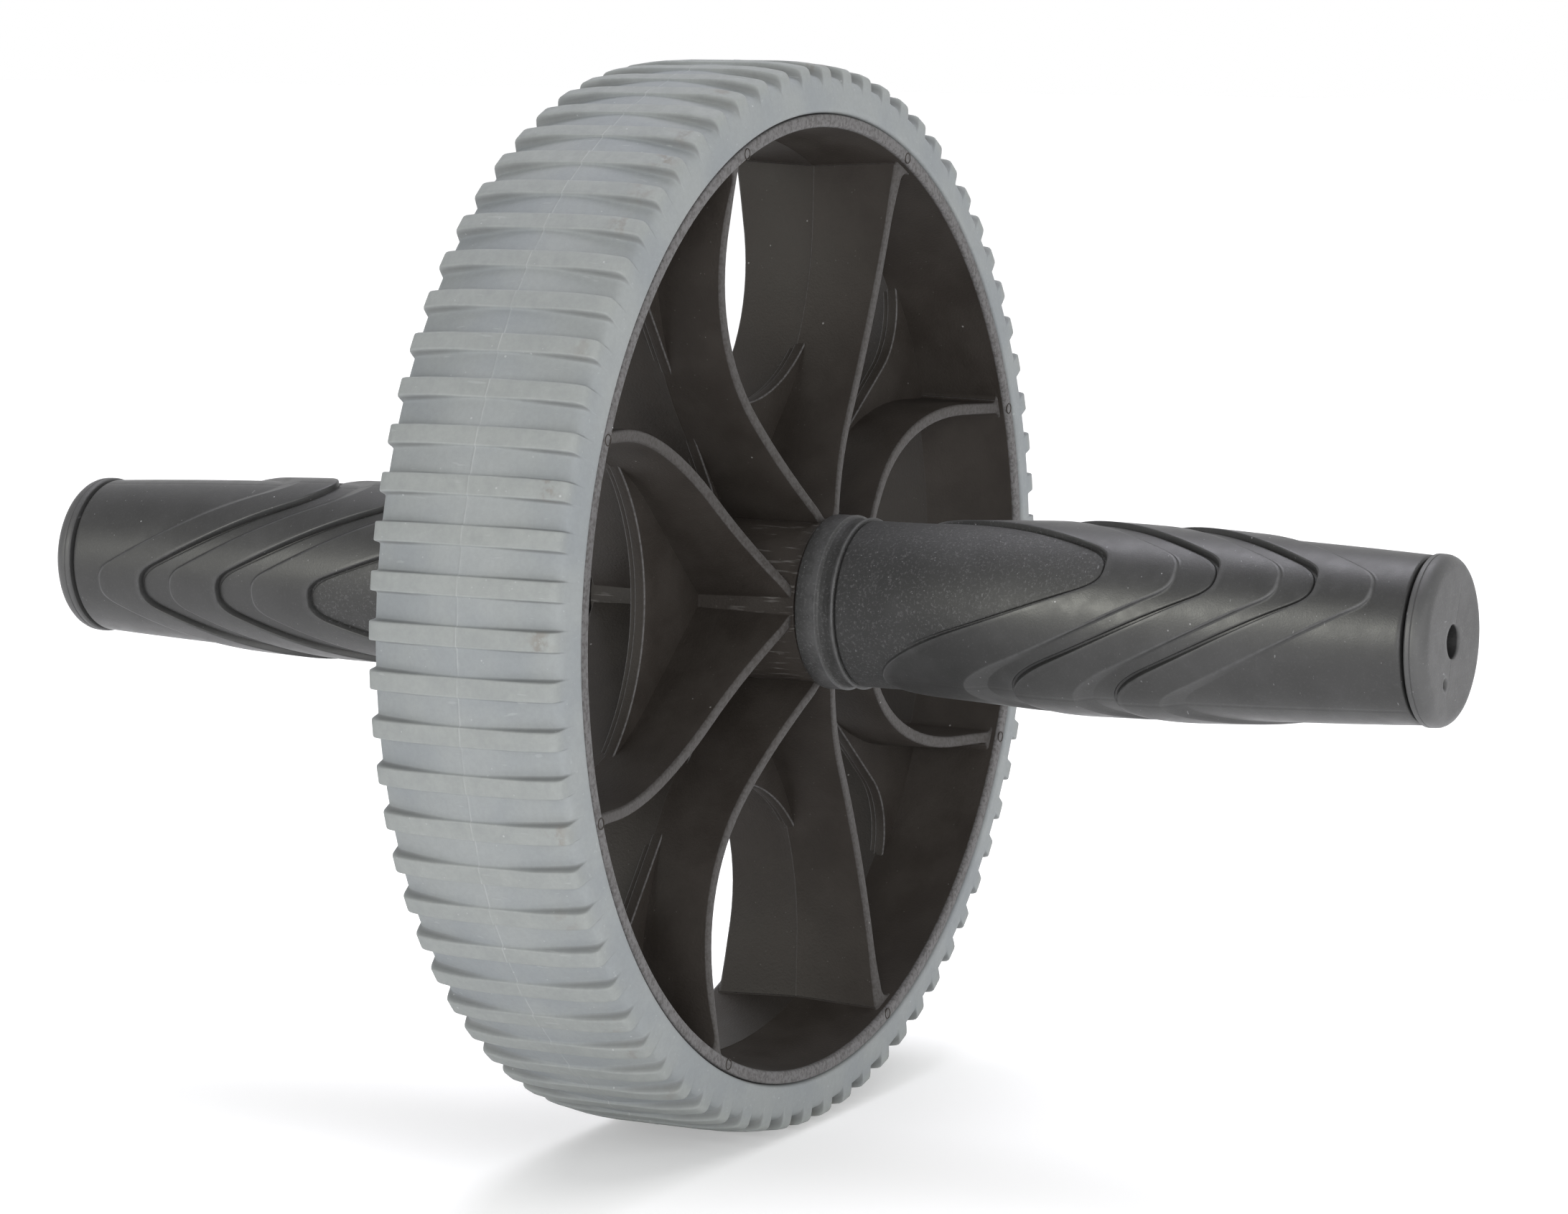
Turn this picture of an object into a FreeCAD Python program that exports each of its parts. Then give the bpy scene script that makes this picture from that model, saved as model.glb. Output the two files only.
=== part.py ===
import FreeCAD, Part
import os
from math import asin, atan2, cos, degrees, pi, radians, sin, sqrt, tan
from FreeCAD import Vector

os.makedirs("parts", exist_ok=True)

# Tread band, sizes in millimetres
tread_radius = 92.0             # axle to the lug tops
tread_depth = 9.0               # lug tops to the rim's outer face
tread_wall_half = 17.9          # wheel middle to the side wall at the rim
wall_top_inset = 0.65           # how far the side wall leans in toward the shoulder
wall_top_drop = 4.4             # lug tops to the outer edge of the side wall
shoulder_inset = 1.5            # side wall to the edge of the crowned base
shoulder_bulge = 0.4            # how far the rounded shoulder stands out of its chord
lug_count = 72
lug_lead_deg = 0.4              # first lug's angle ahead of a petal's middle line
lug_width = 3.2
lug_end_inset = 0.9             # side wall to the end of a lug
lug_flat_share = 0.647          # level part of a lug top, as a share of its length
lug_end_drop = 0.8              # fall of the lug top from its level part to its end
lug_end_bevel = 0.7             # bevel at the ends of a lug's top
lug_rise_middle = 0.5           # lug height at the middle of the tread
lug_rise_shoulder = 2.7         # lug height at the shoulder
lug_root_sink = 1.5             # how far a lug is rooted in the band below its shoulder

# Bearing
axle_radius = 7.0
axle_wall = 1.5
axle_half_length = 118.0
axle_end_bevel = 0.5
bush_wall = 2.6
bush_length = 14.0
bush_flange_width = 2.52
bush_flange_thickness = 1.2
bush_bevel = 0.3
washer_overlap = 0.2            # washer's edge outside the flange of the bush
washer_thickness = 0.8

# Spoked core
rim_inset = 0.2                 # rim's edge inside the tread's side wall
rim_wall_edge = 2.2             # rim thickness at its edges
rim_wall_middle = 3.2           # rim thickness at the mould line
rim_rib_half_width = 4.0        # ring rib that keeps the tread from creeping sideways
rim_rib_height = 1.0
hub_end_wall = 1.3              # hub wall round the seat of the bush
hub_draft = 0.25                # loss of hub radius from the middle to its ends
hub_proud = 2.0                 # hub's end outside the rim's edge
core_inner_bevel = 0.5          # bevel of the rim's inner edges
core_outer_bevel = 0.4          # bevel of the rim's outer edges and the hub's ends
petal_count = 4
wheel_turn_deg = -2.7           # resting angle of the first petal above the level line
petal_share = 0.3822            # petal middle line to a vane, as a share of the rim's inner radius
vane_leg_deg = 41.4             # slope of a vane's inner leg away from the petal's middle line
vane_leg_gap = 1.2              # a point on that leg: distance out from the hub
vane_leg_offset = 4.0           # the same point: distance from the petal's middle line
vane_straight = 4.94            # straight run of a vane between its bend and its rim fillet
vane_thickness_edge = 1.9
vane_thickness_middle = 2.8
vane_fillet_radius = 2.4        # where a vane runs into the rim
vane_hub_inset = 0.4            # vane's edge inside the hub's end
vane_rim_inset = 1.2            # vane's edge inside the rim's edge
vane_waist_dip = 3.8            # how far a vane's edge dips at its waist
vane_waist_share = 0.567        # place of the waist, as a share of the way from hub to rim
web_thickness = 3.0
petal_window_nose = 18.8        # hub to the nearest point of a petal's window
petal_window_margin = 0.4       # web left beside the vanes at the window
slot_end_share = 0.1604         # outer end radius of the slot between petals, as a share of the rim's
slot_overrun = 1.2              # how far that end runs into the rim
slot_root_share = 0.508         # inner end radius of the slot, as a share of its outer end's
slot_root_gap = 1.2             # hub to the inner end of the slot

# Handles, measured outward from the wheel's middle
collar_gap = 0.5                # hub's end to the collar
collar_ring_rise = 0.75         # collar's ring over the grip's neck
collar_ring_width = 3.8
collar_channel_rise = 0.1       # channel beside the ring
collar_crest_rise = 0.45        # crest at the sleeve side of the channel
collar_channel_width = 3.3
collar_edge_bevel = 0.4
core_end_recess = 0.4           # core end inside the sleeve end
core_end_bevel = 0.3
sleeve_wall = 2.57              # rubber thickness at the neck
neck_radius = 14.2
neck_length = 6.5               # plain part of the sleeve next to the collar
swell_length = 36.0             # from the neck to the fullest place
belly_swell = 1.3               # fullest place over the neck
belly_length = 8.0              # level part at the fullest place
sleeve_taper = 1.7              # fall of the radius from the fullest place to the sleeve's end
sleeve_taper_power = 1.6
band_rise = 0.95                # step at the wheel side of a chevron band
band_tail_sink = 0.35           # how far the outer edge of a band dives under the grip
band_root_depth = 1.4
chevron_tip_deg = 20.0          # turn about the axle over which a chevron's tip is rounded
chevron_valley_deg = 30.0       # turn over which its valley is rounded
first_chevron_fall = 0.4137     # first chevron line, tip to valley, as a share of the sleeve's length
chevron_fall = 0.352            # the other chevron lines
first_band_share = 0.4782       # place of each chevron's tip, as a share of the sleeve's length
second_band_share = 0.6736
third_band_share = 0.8433
first_band_span = 0.121         # length of each band, as a share of the sleeve's length
second_band_span = 0.1071
third_band_span = 0.0962
right_grip_turn_deg = 139.4     # angle of the chevron tips about the axle
left_grip_turn_deg = 193.0
cap_overhang = 0.3              # cap's edge outside the sleeve's end
cap_thickness = 3.6
cap_edge_radius = 2.0
cap_lip_bevel = 0.3
cap_plug_wall = 2.2             # handle core's wall round the plug
cap_plug_bevel = 0.6
cap_plug_length = 7.0
cap_hole_radius = 2.75
cap_dimple_radius = 1.6
cap_dimple_depth = 0.5
cap_dimple_share = 0.53         # place of the dimple, as a share of the cap's radius
cap_dimple_turn_deg = 240.0

# Clearances
tread_fit = 0.05
bush_fit = 0.08
running_fit = 0.08
washer_fit = 0.10
washer_side_gap = 0.10
washer_edge_gap = 0.6
press_gap = 0.02
core_fit = 0.03
cap_gap = 0.3
plug_fit = 0.05
plug_end_gap = 2.0
axle_end_gap = 2.7

# Sizes of the bearing and hub that follow from the ones above
bush_bore_radius = axle_radius + running_fit
bush_radius = bush_bore_radius + bush_wall
bush_flange_radius = bush_radius + bush_flange_width
washer_radius = bush_flange_radius + washer_overlap
hub_bore_radius = bush_radius + bush_fit
hub_recess_radius = washer_radius + washer_edge_gap
hub_radius = hub_recess_radius + hub_end_wall
hub_end_radius = hub_radius - hub_draft

# Sizes of the wheel
rim_outer_radius = tread_radius - tread_depth
rim_half_width = tread_wall_half - rim_inset
rim_inner_edge = rim_outer_radius - rim_wall_edge
rim_inner_middle = rim_outer_radius - rim_wall_middle
tread_bore_radius = rim_outer_radius + tread_fit
tread_base_middle = tread_radius - lug_rise_middle
tread_base_shoulder = tread_radius - lug_rise_shoulder
shoulder_half = tread_wall_half - shoulder_inset
wall_top_half = tread_wall_half - wall_top_inset
lug_half_length = tread_wall_half - lug_end_inset
lug_flat_half = lug_flat_share * lug_half_length
hub_half_length = rim_half_width + hub_proud
vane_half_width_hub = hub_half_length - vane_hub_inset
vane_half_width_rim = rim_half_width - vane_rim_inset
vane_half_width_waist = vane_half_width_rim - vane_waist_dip
vane_waist_radius = hub_radius + vane_waist_share * (rim_inner_edge - hub_radius)
vane_run_in = 0.5 * (rim_inner_edge + rim_outer_radius)
vane_root_radius = 0.5 * (hub_bore_radius + hub_end_radius)
vane_leg_station = hub_radius + vane_leg_gap
petal_half_width = petal_share * rim_inner_middle
slot_end_radius = slot_end_share * rim_inner_middle
slot_end_station = rim_inner_middle + slot_overrun - slot_end_radius
slot_root_radius = slot_root_share * slot_end_radius
slot_root_station = hub_radius + slot_root_gap + slot_root_radius

# A vane bends from its leg to run beside the petal's middle line, a short way before its rim fillet
vane_corner = vane_leg_station + (petal_half_width - vane_leg_offset) / tan(radians(vane_leg_deg))
vane_side = petal_half_width + vane_thickness_middle / 2 + vane_fillet_radius
vane_fillet_station = sqrt((rim_inner_middle - vane_fillet_radius) ** 2 - vane_side ** 2)
vane_bend_end = vane_fillet_station - vane_straight
vane_bend_radius = (vane_bend_end - vane_corner) / tan(radians(vane_leg_deg / 2))

# Sizes of the handles
collar_station = hub_half_length + collar_gap
washer_face = collar_station - washer_thickness
bush_face = washer_face - washer_side_gap
bush_seat = bush_face - bush_flange_thickness
collar_ring_radius = neck_radius + collar_ring_rise
collar_channel_radius = neck_radius + collar_channel_rise
collar_crest_radius = neck_radius + collar_crest_rise
sleeve_bore_radius = neck_radius - sleeve_wall
core_radius = sleeve_bore_radius - core_fit
core_bore_radius = axle_radius + press_gap
belly_radius = neck_radius + belly_swell
sleeve_end_radius = belly_radius - sleeve_taper
sleeve_start = collar_station + collar_ring_width + collar_channel_width
swell_start = sleeve_start + neck_length
belly_start = swell_start + swell_length
belly_end = belly_start + belly_length
core_end = axle_half_length + axle_end_gap + cap_plug_length
sleeve_end = core_end + core_end_recess
sleeve_length = sleeve_end - sleeve_start
cap_radius = sleeve_end_radius + cap_overhang
cap_plug_radius = core_radius - cap_plug_wall
cap_dimple_offset = cap_dimple_share * cap_radius
cap_face = sleeve_end + cap_gap + cap_thickness

origin = Vector(0, 0, 0)
across = Vector(1, 0, 0)
axle_line = Vector(0, 0, 1)


def at(radius, station):
    """Point of a turned profile."""
    return Vector(radius, 0, station)


def line(a, b):
    return Part.LineSegment(a, b).toShape()


def arc(a, middle, b):
    return Part.Arc(a, middle, b).toShape()


def turn_edges(edges):
    """Solid of revolution about the axle from a closed run of profile edges."""
    return Part.Face(Part.Wire(edges)).revolve(origin, axle_line, 360)


def turned(profile):
    """Solid of revolution from corners given as (radius, station, corner bevel)."""
    corners = []
    for i in range(len(profile)):
        radius, station, bevel = profile[i]
        corner = at(radius, station)
        if bevel == 0:
            corners.append(corner)
            continue
        for near in (profile[i - 1], profile[(i + 1) % len(profile)]):
            way = at(near[0], near[1]) - corner
            way.normalize()
            corners.append(corner + way * bevel)
    corners.append(corners[0])
    return Part.Face(Part.makePolygon(corners)).revolve(origin, axle_line, 360)


def ring(outer, inner, low, high):
    """Plain ring between two stations."""
    body = Part.makeCylinder(outer, high - low, Vector(0, 0, low))
    return body.cut(Part.makeCylinder(inner, high - low, Vector(0, 0, low)))


def make_tread():
    base_edge = at(tread_base_shoulder, shoulder_half)
    wall_top = at(tread_radius - wall_top_drop, wall_top_half)
    wall_foot = at(tread_bore_radius, tread_wall_half)
    chord = wall_top - base_edge
    outward = Vector(chord.z, 0, -chord.x)
    outward.normalize()
    bulge = (base_edge + wall_top) * 0.5 + outward * shoulder_bulge
    groove_radius = tread_bore_radius + rim_rib_height
    groove_half = rim_rib_half_width + tread_fit
    edges = [
        line(at(tread_bore_radius, groove_half), wall_foot),
        line(wall_foot, wall_top),
        arc(wall_top, bulge, base_edge),
        arc(base_edge, at(tread_base_middle, 0), at(tread_base_shoulder, -shoulder_half)),
        arc(at(tread_base_shoulder, -shoulder_half), at(bulge.x, -bulge.z),
            at(wall_top.x, -wall_top_half)),
        line(at(wall_top.x, -wall_top_half), at(tread_bore_radius, -tread_wall_half)),
        line(at(tread_bore_radius, -tread_wall_half), at(tread_bore_radius, -groove_half)),
        line(at(tread_bore_radius, -groove_half), at(groove_radius, -groove_half)),
        line(at(groove_radius, -groove_half), at(groove_radius, groove_half)),
        line(at(groove_radius, groove_half), at(tread_bore_radius, groove_half)),
    ]
    pitch_deg = 360.0 / lug_count
    section = Part.Face(Part.Wire(edges))
    section.rotate(origin, axle_line, -pitch_deg / 2)
    slice_of_band = section.revolve(origin, axle_line, pitch_deg)

    # One lug, cut from a turned envelope so its ends roll down over the shoulders
    lug_floor = tread_base_shoulder - lug_root_sink
    end_radius = tread_radius - lug_end_drop
    envelope = turned([
        (lug_floor, -wall_top_half, 0),
        (lug_floor, wall_top_half, 0),
        (end_radius, lug_half_length, lug_end_bevel),
        (tread_radius, lug_flat_half, 0),
        (tread_radius, -lug_flat_half, 0),
        (end_radius, -lug_half_length, lug_end_bevel),
    ])
    blank = Part.makeBox(2 * tread_radius, lug_width, 2 * tread_wall_half,
                         Vector(0, -lug_width / 2, -tread_wall_half))
    slice_with_lug = slice_of_band.fuse(envelope.common(blank))

    # The skin of one slice, without its two cut faces, repeats round the wheel
    skin = []
    for face in slice_with_lug.Faces:
        middle = face.CenterOfMass
        if abs(abs(degrees(atan2(middle.y, middle.x))) - pitch_deg / 2) > 1e-3:
            skin.append(face)
    faces = []
    for i in range(lug_count):
        for face in skin:
            copy = face.copy()
            copy.rotate(origin, axle_line, lug_lead_deg + i * pitch_deg)
            faces.append(copy)
    tread = Part.makeCompound(faces)
    tread.sewShape()
    return Part.Solid(tread.Shells[0])


def vane_plan(thickness, rim_radius, station):
    """Closed outline of one vane across the axle, with fillets where it runs into the rim."""
    leg = radians(vane_leg_deg)
    centre = Vector(vane_bend_end, petal_half_width - vane_bend_radius, station)
    along = Vector(cos(leg), sin(leg), 0)
    normal = Vector(-sin(leg), cos(leg), 0)
    leg_point = Vector(vane_leg_station, vane_leg_offset, station)
    nearest = leg_point - along * leg_point.dot(along)
    foot = sqrt(vane_root_radius ** 2 - (nearest.x ** 2 + nearest.y ** 2))
    root = leg_point + along * (foot - leg_point.dot(along))
    half = thickness / 2
    ends = []
    for side in (1, -1):
        offset = petal_half_width + side * half
        bend = vane_bend_radius + side * half
        fillet_y = offset + side * vane_fillet_radius
        fillet_x = sqrt((rim_radius - vane_fillet_radius) ** 2 - fillet_y ** 2)
        fillet = Vector(fillet_x, fillet_y, station)
        reach = sqrt(fillet_x ** 2 + fillet_y ** 2)
        on_rim = Vector(fillet_x * rim_radius / reach, fillet_y * rim_radius / reach, station)
        on_side = Vector(fillet_x, offset, station)
        hollow = Vector(on_rim.x + on_side.x - 2 * fillet_x, on_rim.y + on_side.y - 2 * fillet_y, 0)
        hollow.normalize()
        in_rim = Vector(fillet_x * vane_run_in / reach, fillet_y * vane_run_in / reach, station)
        leg_end = centre + normal * bend
        bend_middle = centre + Vector(-sin(leg / 2), cos(leg / 2), 0) * bend
        bend_end = Vector(centre.x, offset, station)
        ends.append([
            root + normal * (side * half), leg_end, bend_middle, bend_end,
            on_side, fillet + hollow * vane_fillet_radius, on_rim, in_rim])
    edges = []
    left, right = ends
    edges.append(line(right[0], left[0]))
    edges.append(line(left[0], left[1]))
    edges.append(arc(left[1], left[2], left[3]))
    edges.append(line(left[3], left[4]))
    edges.append(arc(left[4], left[5], left[6]))
    edges.append(line(left[6], left[7]))
    edges.append(line(left[7], right[7]))
    edges.append(line(right[7], right[6]))
    edges.append(arc(right[6], right[5], right[4]))
    edges.append(line(right[4], right[3]))
    edges.append(arc(right[3], right[2], right[1]))
    edges.append(line(right[1], right[0]))
    return Part.Wire(edges)


def make_core():
    rib_radius = rim_outer_radius + rim_rib_height
    rim = turned([
        (rim_inner_middle, 0, 0),
        (rim_inner_edge, -rim_half_width, core_inner_bevel),
        (rim_outer_radius, -rim_half_width, core_outer_bevel),
        (rim_outer_radius, -rim_rib_half_width, 0),
        (rib_radius, -rim_rib_half_width, 0),
        (rib_radius, rim_rib_half_width, 0),
        (rim_outer_radius, rim_rib_half_width, 0),
        (rim_outer_radius, rim_half_width, core_outer_bevel),
        (rim_inner_edge, rim_half_width, core_inner_bevel),
    ])
    hub = turned([
        (hub_bore_radius, -hub_half_length, 0),
        (hub_end_radius, -hub_half_length, core_outer_bevel),
        (hub_radius, 0, 0),
        (hub_end_radius, hub_half_length, core_outer_bevel),
        (hub_bore_radius, hub_half_length, 0),
    ])

    # A vane tapers from the mould line to both edges, and its edges dip to a waist
    edge_station = hub_half_length
    taper = vane_thickness_middle - vane_thickness_edge
    edge_thickness = vane_thickness_middle - taper * edge_station / vane_half_width_rim
    edge_rim = rim_inner_middle + (rim_inner_edge - rim_inner_middle) * edge_station / rim_half_width
    middle_plan = vane_plan(vane_thickness_middle, rim_inner_middle, 0)
    front = Part.makeLoft([middle_plan, vane_plan(edge_thickness, edge_rim, edge_station)], True, True)
    back = Part.makeLoft([vane_plan(edge_thickness, edge_rim, -edge_station), middle_plan], True, True)
    dish_low = hub_bore_radius
    dish_high = rim_outer_radius
    rim_edge = at(rim_inner_edge, vane_half_width_rim)
    hub_edge = at(hub_radius, vane_half_width_hub)
    waist = at(vane_waist_radius, vane_half_width_waist)
    dish_edges = [
        line(at(dish_low, -hub_edge.z), at(dish_low, hub_edge.z)),
        line(at(dish_low, hub_edge.z), hub_edge),
        arc(hub_edge, waist, rim_edge),
        line(rim_edge, at(dish_high, rim_edge.z)),
        line(at(dish_high, rim_edge.z), at(dish_high, -rim_edge.z)),
        line(at(dish_high, -rim_edge.z), at(rim_edge.x, -rim_edge.z)),
        arc(at(rim_edge.x, -rim_edge.z), at(waist.x, -waist.z), at(hub_edge.x, -hub_edge.z)),
        line(at(hub_edge.x, -hub_edge.z), at(dish_low, -hub_edge.z)),
    ]
    vane = front.fuse(back).common(turn_edges(dish_edges))
    twin = vane.mirror(origin, Vector(0, 1, 0))
    vanes = []
    for i in range(petal_count):
        for shape in (vane, twin):
            copy = shape.copy()
            copy.rotate(origin, axle_line, i * 360.0 / petal_count)
            vanes.append(copy)

    # Middle web with a window in each petal and a tapered slot between petals
    web_low = -web_thickness / 2
    web_outer = 0.5 * (rim_inner_middle + rim_outer_radius)
    web_inner = 0.5 * (hub_bore_radius + hub_end_radius)
    web = ring(web_outer, web_inner, web_low, -web_low)
    window_radius = petal_half_width - vane_thickness_middle / 2 - petal_window_margin
    window_station = hub_radius + petal_window_nose + window_radius
    deep = 2 * web_thickness
    window = Part.makeCylinder(window_radius, deep, Vector(window_station, 0, -web_thickness))
    mouth = Part.makeBox(web_outer, 2 * window_radius, deep,
                         Vector(window_station, -window_radius, -web_thickness))
    window = window.fuse(mouth)
    lean = asin((slot_end_radius - slot_root_radius) / (slot_end_station - slot_root_station))
    flank = Vector(-sin(lean), cos(lean), 0)
    slot_end = Vector(slot_end_station, 0, -web_thickness)
    slot_root = Vector(slot_root_station, 0, -web_thickness)
    mirror_flank = Vector(flank.x, -flank.y, 0)
    corners = [
        slot_end + flank * slot_end_radius, slot_root + flank * slot_root_radius,
        slot_root + mirror_flank * slot_root_radius, slot_end + mirror_flank * slot_end_radius]
    corners.append(corners[0])
    slot = Part.Face(Part.makePolygon(corners)).extrude(Vector(0, 0, deep))
    slot = slot.fuse([
        Part.makeCylinder(slot_end_radius, deep, slot_end),
        Part.makeCylinder(slot_root_radius, deep, slot_root)])
    openings = []
    for i in range(petal_count):
        petal = window.copy()
        petal.rotate(origin, axle_line, i * 360.0 / petal_count)
        between = slot.copy()
        between.rotate(origin, axle_line, (i + 0.5) * 360.0 / petal_count)
        openings.extend([petal, between])
    web = web.cut(openings)
    core = rim.multiFuse([hub, web] + vanes)

    # Seats for the bearing flanges, cut last so no vane's root stands in them
    seat_depth = hub_half_length - bush_seat
    seats = []
    for station in (bush_seat, -hub_half_length):
        seats.append(Part.makeCylinder(hub_recess_radius, seat_depth, Vector(0, 0, station)))
    return core.cut(seats).removeSplitter()


def make_bush():
    return turned([
        (bush_bore_radius, bush_seat - bush_length, 0),
        (bush_radius, bush_seat - bush_length, bush_bevel),
        (bush_radius, bush_seat, 0),
        (bush_flange_radius, bush_seat, 0),
        (bush_flange_radius, bush_face, bush_bevel),
        (bush_bore_radius, bush_face, 0),
    ])


def make_washer():
    return ring(washer_radius, axle_radius + washer_fit, washer_face, collar_station)


def make_axle():
    bore = axle_radius - axle_wall
    return turned([
        (bore, -axle_half_length, 0),
        (axle_radius, -axle_half_length, axle_end_bevel),
        (axle_radius, axle_half_length, axle_end_bevel),
        (bore, axle_half_length, 0),
    ])


def make_grip_core():
    plug_floor = core_end - cap_plug_length - plug_end_gap
    socket_radius = cap_plug_radius + plug_fit
    channel_start = collar_station + collar_ring_width
    return turned([
        (core_bore_radius, collar_station, 0),
        (collar_ring_radius, collar_station, collar_edge_bevel),
        (collar_ring_radius, channel_start, collar_edge_bevel),
        (collar_channel_radius, channel_start, 0),
        (collar_crest_radius, sleeve_start, collar_edge_bevel),
        (core_radius, sleeve_start, 0),
        (core_radius, core_end, core_end_bevel),
        (socket_radius, core_end, 0),
        (socket_radius, plug_floor, 0),
        (core_bore_radius, plug_floor, 0),
    ])


def grip_radius(station):
    """Grip radius without the chevron bands."""
    if station <= swell_start:
        return neck_radius
    if station < belly_start:
        share = (station - swell_start) / swell_length
        return neck_radius + (belly_radius - neck_radius) * 0.5 * (1 - cos(pi * share))
    if station <= belly_end:
        return belly_radius
    share = (station - belly_end) / (sleeve_end - belly_end)
    return belly_radius - (belly_radius - sleeve_end_radius) * share ** sleeve_taper_power


def chevron_share(angle):
    """Part of a chevron's fall at an angle from its tip: rounded tip, straight arm, rounded valley."""
    tip = radians(chevron_tip_deg)
    valley = radians(chevron_valley_deg)
    arm = pi / 2 - (tip + valley) / 2
    if angle < tip:
        return angle ** 2 / (2 * tip * arm)
    if angle < pi / 2 - valley:
        return (angle - tip / 2) / arm
    return 1 - (pi / 2 - angle) ** 2 / (2 * valley * arm)


def chevron_ring(tip, fall, rise):
    """Closed curve round the grip along one chevron line, at a height over the plain grip."""
    steps = 96
    points = []
    for i in range(steps):
        angle = 2 * pi * i / steps
        from_tip = asin(min(1, abs(sin(angle))))
        station = tip - fall * sleeve_length * chevron_share(from_tip)
        radius = grip_radius(station) + rise
        points.append(Vector(radius * cos(angle), radius * sin(angle), station))
    curve = Part.BSplineCurve()
    curve.interpolate(Points=points, PeriodicFlag=True)
    return curve.toShape()


def make_band(place, span, crest_fall):
    """One raised chevron band: a step toward the wheel and a tail that sinks into the grip."""
    tip = sleeve_start + place * sleeve_length
    length = span * sleeve_length
    crest = chevron_ring(tip, crest_fall, band_rise)
    tail = chevron_ring(tip + length, chevron_fall, -band_tail_sink)
    tail_root = chevron_ring(tip + length, chevron_fall, -band_root_depth)
    crest_root = chevron_ring(tip, crest_fall, -band_root_depth)
    loop = [crest, tail, tail_root, crest_root]
    faces = []
    for i in range(4):
        faces.append(Part.makeRuledSurface(loop[i], loop[(i + 1) % 4]))
    band = Part.Solid(Part.Shell(faces))
    if band.Volume < 0:
        band.reverse()
    return band


def make_sleeve():
    steps = 24
    points = []
    for i in range(steps + 1):
        station = swell_start + (sleeve_end - swell_start) * i / steps
        points.append(at(grip_radius(station), station))
    curve = Part.BSplineCurve()
    curve.interpolate(points)
    bore = sleeve_bore_radius
    edges = [
        line(at(bore, sleeve_start), at(neck_radius, sleeve_start)),
        line(at(neck_radius, sleeve_start), points[0]),
        curve.toShape(),
        line(points[-1], at(bore, sleeve_end)),
        line(at(bore, sleeve_end), at(bore, sleeve_start)),
    ]
    sleeve = turn_edges(edges)
    bands = [
        make_band(first_band_share, first_band_span, first_chevron_fall),
        make_band(second_band_share, second_band_span, chevron_fall),
        make_band(third_band_share, third_band_span, chevron_fall),
    ]
    return sleeve.multiFuse(bands)


def make_cap():
    flange = sleeve_end + cap_gap
    plug_end = core_end - cap_plug_length
    cap = turned([
        (cap_hole_radius, plug_end, 0),
        (cap_plug_radius, plug_end, cap_plug_bevel),
        (cap_plug_radius, flange, 0),
        (cap_radius, flange, cap_lip_bevel),
        (cap_radius, cap_face, 0),
        (cap_hole_radius, cap_face, 0),
    ])
    face_edges = []
    for edge in cap.Edges:
        if edge.BoundBox.ZMin > cap_face - 1e-6 and edge.BoundBox.XMax > cap_radius - 1e-6:
            face_edges.append(edge)
    cap = cap.makeFillet(cap_edge_radius, face_edges)
    ball_radius = (cap_dimple_radius ** 2 + cap_dimple_depth ** 2) / (2 * cap_dimple_depth)
    turn = radians(cap_dimple_turn_deg)
    centre = Vector(cap_dimple_offset * cos(turn), cap_dimple_offset * sin(turn),
                    cap_face + ball_radius - cap_dimple_depth)
    return cap.cut(Part.makeSphere(ball_radius, centre))


def to_right(shape, turn=0.0):
    """Lay a piece built along +Z on the right side of the axle, turned about it."""
    copy = shape.copy()
    copy.rotate(origin, axle_line, turn)
    copy.rotate(origin, across, 90)
    return copy


def to_left(shape, turn=0.0):
    """Lay a piece built along +Z on the left side of the axle, turned about it."""
    copy = shape.copy()
    copy.rotate(origin, axle_line, -turn)
    copy.rotate(origin, across, -90)
    return copy


pieces = {
    "tread": to_right(make_tread(), wheel_turn_deg),
    "wheel_core": to_right(make_core(), wheel_turn_deg),
    "axle_tube": to_right(make_axle()),
}
bush = make_bush()
washer = make_washer()
grip_core = make_grip_core()
sleeve = make_sleeve()
cap = make_cap()
for side, lay, turn in (("right", to_right, right_grip_turn_deg), ("left", to_left, left_grip_turn_deg)):
    pieces[side + "_hub_bush"] = lay(bush)
    pieces[side + "_thrust_washer"] = lay(washer)
    pieces[side + "_grip_core"] = lay(grip_core)
    pieces[side + "_grip_sleeve"] = lay(sleeve, turn)
    pieces[side + "_end_cap"] = lay(cap)

for name, shape in pieces.items():
    shape.exportStep("parts/" + name + ".step")
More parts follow.
